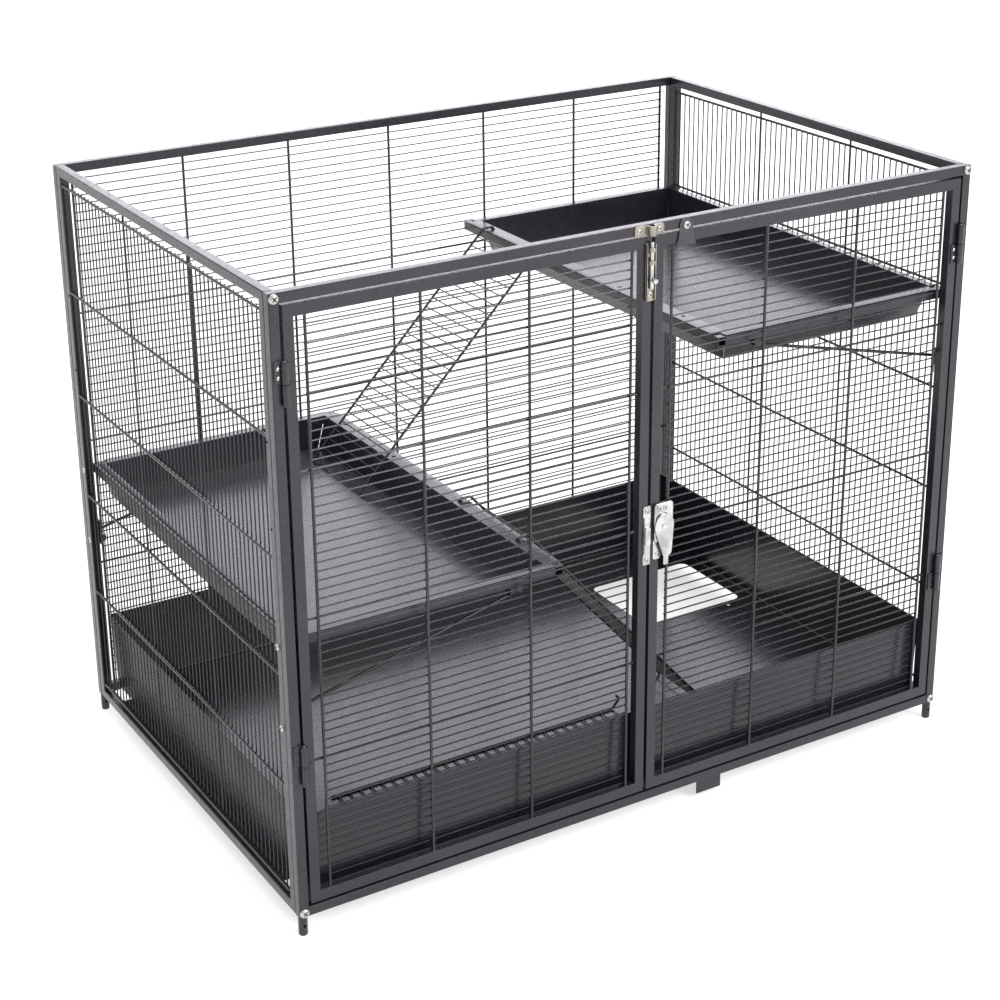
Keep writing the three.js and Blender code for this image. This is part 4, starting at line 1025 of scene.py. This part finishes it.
# ------------------------------------------------------------------ tray
def build_tray():
    """Deep folded tray: inside wall, rolled hem, outside wall, and the floor with its holes."""
    bm = bmesh.new()
    profile = [
        (9.0, 13.2), (7.4, 13.45), (6.5, 14.3), (6.15, 15.6), (2.3, 117.4), (2.1, 118.8),
        (1.6, 119.7), (0.9, 120.0), (0.3, 119.7), (0.0, 119.0), (0.0, 117.0), (0.35, 116.2),
        (1.0, 115.9), (4.75, 14.2), (5.1, 13.0), (6.0, 12.2), (7.2, 12.0),
    ]
    rings = []
    for inset, z in profile:
        r = max(TRAY_CORNER - inset * 0.5, 1.6)
        x, y = (half - inset for half in TRAY_HALF)
        outline = rounded_rectangle((-x, x), (-y, y), r)
        rings.append([(x, y, z) for x, y in outline])
    rows = loft(bm, rings, caps=False)
    passage = rounded_rectangle(*PASSAGE, 12.0, 6)
    x, y = HOOK_HOLES
    hooks = [
        arc(x + s * RAMP_HALF, y, RAMP_HOLE / 2, RAMP_HOLE / 2, 0, 360, 16)[:-1] for s in (-1, 1)
    ]
    under, floor = TRAY_FLOOR
    holes = []
    for outline in (passage, *hooks):
        high = [bm.verts.new((x, y, floor)) for x, y in outline]
        low = [bm.verts.new((x, y, under)) for x, y in outline]
        for i in range(len(high)):
            j = (i + 1) % len(high)
            bm.faces.new((high[i], high[j], low[j], low[i]))
        holes.append((high, low))
    fill(bm, [rows[0], *[high for high, low in holes]])
    fill(bm, [rows[-1], *[low for high, low in holes]])
    piece("tray_sheet", bm, PAN, "root", ["bottom_tray"])


# ------------------------------------------------------------------ ramps
def ramp(name, body, node, middle, foot, bend, hook):
    """Two bent rails with rungs between them, all of round wire."""
    bm = bmesh.new()
    way = Vector((bend[0] - foot[0], 0, bend[1] - foot[1]))
    for y in (middle - RAMP_HALF, middle + RAMP_HALF):
        points = [(x, y, z) for x, z in (foot, bend, *hook)]
        wire(bm, points, THICK, THICK_SIDES, radius=RAIL_BEND)
    for index in range(int(way.length // RUNG_PITCH)):
        at = Vector((foot[0], 0, foot[1])) + way * ((index + 0.5) * RUNG_PITCH / way.length)
        ends = [(at.x, middle + reach, at.z) for reach in (-RUNG_HALF, RUNG_HALF)]
        wire(bm, ends, THIN, THIN_SIDES)
    piece(name, bm, WIRE_PAINT, body, [node])


def torus(bm, ring, r, sides=8):
    """A closed ring of round wire through points in a level plane."""
    points = [Vector(p) for p in ring]
    centre = sum(points, Vector()) / len(points)
    rows = []
    for point in points:
        out = (point - centre).normalized()
        row = [point + out * r * c + Vector((0, 0, r * s)) for c, s in circle(sides)]
        rows.append([bm.verts.new(place) for place in row])
    for a, b in zip(rows, rows[1:] + rows[:1]):
        for i in range(sides):
            j = (i + 1) % sides
            bm.faces.new((a[i], a[j], b[j], b[i]))


def build_ramps():
    """Two ramps hooked over the shelves' lips, with the holes' eyelets, and one in the tray."""
    lift = 2.0 + THICK / 2
    for name, side, rim, middle, foot_x, floor in (
        ("upper", 1, UPPER_RIM, 168.5, -172.0, LOWER_RIM - PAN_DEPTH),
        ("lower", -1, LOWER_RIM, -143.5, 192.0, TRAY_FLOOR[1]),
    ):
        level = rim + lift
        bend = (side * (SHELF_FREE - 4.0), level)
        slope = math.atan2(level - floor, abs(bend[0] - foot_x))
        foot = (foot_x, floor + SEAT + math.cos(slope) * THICK / 2)
        hole = side * RAMP_HOLE_X
        ramp(
            f"{name}_ramp_wires", f"{name}_ramp", f"{name}_ramp", middle, foot, bend,
            [(hole, level), (hole, rim - HOOK_TIP)],
        )
        bm = bmesh.new()
        for y in (middle - RAMP_HALF, middle + RAMP_HALF):
            round_hole = arc(hole, y, EYELET_RING, EYELET_RING, 0, 360, 24)[:-1]
            torus(bm, [(u, v, rim + EYELET_WIRE) for u, v in round_hole], EYELET_WIRE)
        piece(f"{name}_shelf_eyelets", bm, PAN, "root")
    level = TRAY_FLOOR[1] + SEAT + THICK / 2
    rise = 16.0 * math.sqrt(0.5)
    ramp(
        "floor_ramp_wires", "floor_ramp", "floor_ramp", -191.5, (-337.0, level),
        (93.0 - rise, level), [(93.0, level + rise), (93.0 - rise / 2, level + 1.5 * rise)],
    )


# ------------------------------------------------------------------ stage, light and camera
def seen_share(tree):
    """1 for rays from the camera and for rays by way of metal, gloss or glass."""
    path = tree.nodes.new("ShaderNodeLightPath")
    total = path.outputs["Is Camera Ray"]
    for kind in ("Is Glossy Ray", "Is Transmission Ray"):
        more = tree.nodes.new("ShaderNodeMath")
        more.operation = "MAXIMUM"
        tree.links.new(total, more.inputs[0])
        tree.links.new(path.outputs[kind], more.inputs[1])
        total = more.outputs["Value"]
    return total


def build_floor():
    """A white floor that keeps the shadow and shows white everywhere else."""
    bm = bmesh.new()
    bmesh.ops.create_grid(bm, x_segments=1, y_segments=1, size=12.0)
    mesh = bpy.data.meshes.new("floor")
    bm.to_mesh(mesh)
    bm.free()
    floor = bpy.data.objects.new("floor", mesh)
    bpy.context.scene.collection.objects.link(floor)
    material = bpy.data.materials.new("floor_white")
    material.use_nodes = True
    tree = material.node_tree
    shader = tree.nodes["Principled BSDF"]
    shader.inputs["Base Color"].default_value = (0.8, 0.8, 0.8, 1.0)
    shader.inputs["Roughness"].default_value = 0.9
    shader.inputs["Specular IOR Level"].default_value = 0.0
    glow = tree.nodes.new("ShaderNodeEmission")
    glow.inputs["Color"].default_value = (1.0, 1.0, 1.0, 1.0)
    glow.inputs["Strength"].default_value = 0.6
    both = tree.nodes.new("ShaderNodeAddShader")
    pick = tree.nodes.new("ShaderNodeMixShader")
    tree.links.new(shader.outputs["BSDF"], both.inputs[0])
    tree.links.new(glow.outputs["Emission"], both.inputs[1])
    tree.links.new(seen_share(tree), pick.inputs["Fac"])
    tree.links.new(shader.outputs["BSDF"], pick.inputs[1])
    tree.links.new(both.outputs["Shader"], pick.inputs[2])
    tree.links.new(pick.outputs["Shader"], tree.nodes["Material Output"].inputs["Surface"])
    mesh.materials.append(material)


def build_world():
    """Soft studio light from all sides, with a white background behind the object."""
    world = bpy.data.worlds.new("studio")
    bpy.context.scene.world = world
    world.use_nodes = True
    tree = world.node_tree
    light = tree.nodes["Background"]
    light.inputs["Color"].default_value = (0.97, 0.98, 1.0, 1.0)
    light.inputs["Strength"].default_value = 0.62
    white = tree.nodes.new("ShaderNodeBackground")
    white.inputs["Color"].default_value = (1.0, 1.0, 1.0, 1.0)
    white.inputs["Strength"].default_value = 1.0
    pick = tree.nodes.new("ShaderNodeMixShader")
    tree.links.new(seen_share(tree), pick.inputs["Fac"])
    tree.links.new(light.outputs["Background"], pick.inputs[1])
    tree.links.new(white.outputs["Background"], pick.inputs[2])
    tree.links.new(pick.outputs["Shader"], tree.nodes["World Output"].inputs["Surface"])


def area_light(name, place, size, power, colour=(1.0, 1.0, 1.0)):
    """A round soft lamp turned to the middle of the cage, hidden from the camera."""
    data = bpy.data.lights.new(name, "AREA")
    data.color = colour
    data.shape = "DISK"
    data.size = size
    data.energy = power
    light = bpy.data.objects.new(name, data)
    light.location = place
    way = Vector(place) - Vector((0.0, 0.0, 0.35))
    light.rotation_euler = way.to_track_quat("Z", "Y").to_euler()
    light.visible_camera = False
    bpy.context.scene.collection.objects.link(light)


def build_camera():
    """A camera at the photograph's viewpoint, looking at the middle of the frame."""
    a, e, t = CAMERA_AZIMUTH, CAMERA_ELEVATION, CAMERA_ROLL
    back = Vector((math.sin(a) * math.cos(e), -math.cos(a) * math.cos(e), math.sin(e)))
    level = Vector((math.cos(a), math.sin(a), 0.0))
    rise = level.cross(-back)
    right = level * math.cos(t) + rise * math.sin(t)
    up = rise * math.cos(t) - level * math.sin(t)
    data = bpy.data.cameras.new("camera")
    data.lens = CAMERA_LENS
    data.sensor_width = 36.0
    data.shift_y = CAMERA_SHIFT
    camera = bpy.data.objects.new("camera", data)
    bpy.context.scene.collection.objects.link(camera)
    centre = Vector((0.0, 0.0, (FOOT_HEIGHT + HEIGHT / 2) * MM))
    place = centre + back * CAMERA_DISTANCE + right * CAMERA_ASIDE + up * CAMERA_RISE
    turn = Matrix((right, up, back)).transposed().to_4x4()
    camera.matrix_world = Matrix.Translation(place) @ turn
    bpy.context.scene.camera = camera


# ------------------------------------------------------------------ the whole
build_camera()
build_frames()
build_sides()
build_corners()
for door_name, door_side in (("left", -1), ("right", 1)):
    build_door(door_name, door_side)
    for hinge_level, hinge_bottom in HINGE_LEVELS.items():
        build_hinge(door_name, door_side, hinge_level, hinge_bottom)
build_bolt()
build_keeper()
build_strike()
build_latch()
build_tabs()
build_shelf("upper", UPPER_RIM, 1)
build_shelf("lower", LOWER_RIM, -1)
build_tray()
build_ramps()
build_floor()
build_world()
area_light("key", (1.4, -3.2, 2.6), 2.4, 95.0)
area_light("top", (-0.6, 0.4, 3.6), 3.0, 40.0)
area_light("rear", (1.8, 3.0, 1.9), 3.0, 46.0, (0.94, 0.91, 1.0))
bpy.context.scene.view_settings.view_transform = "Standard"
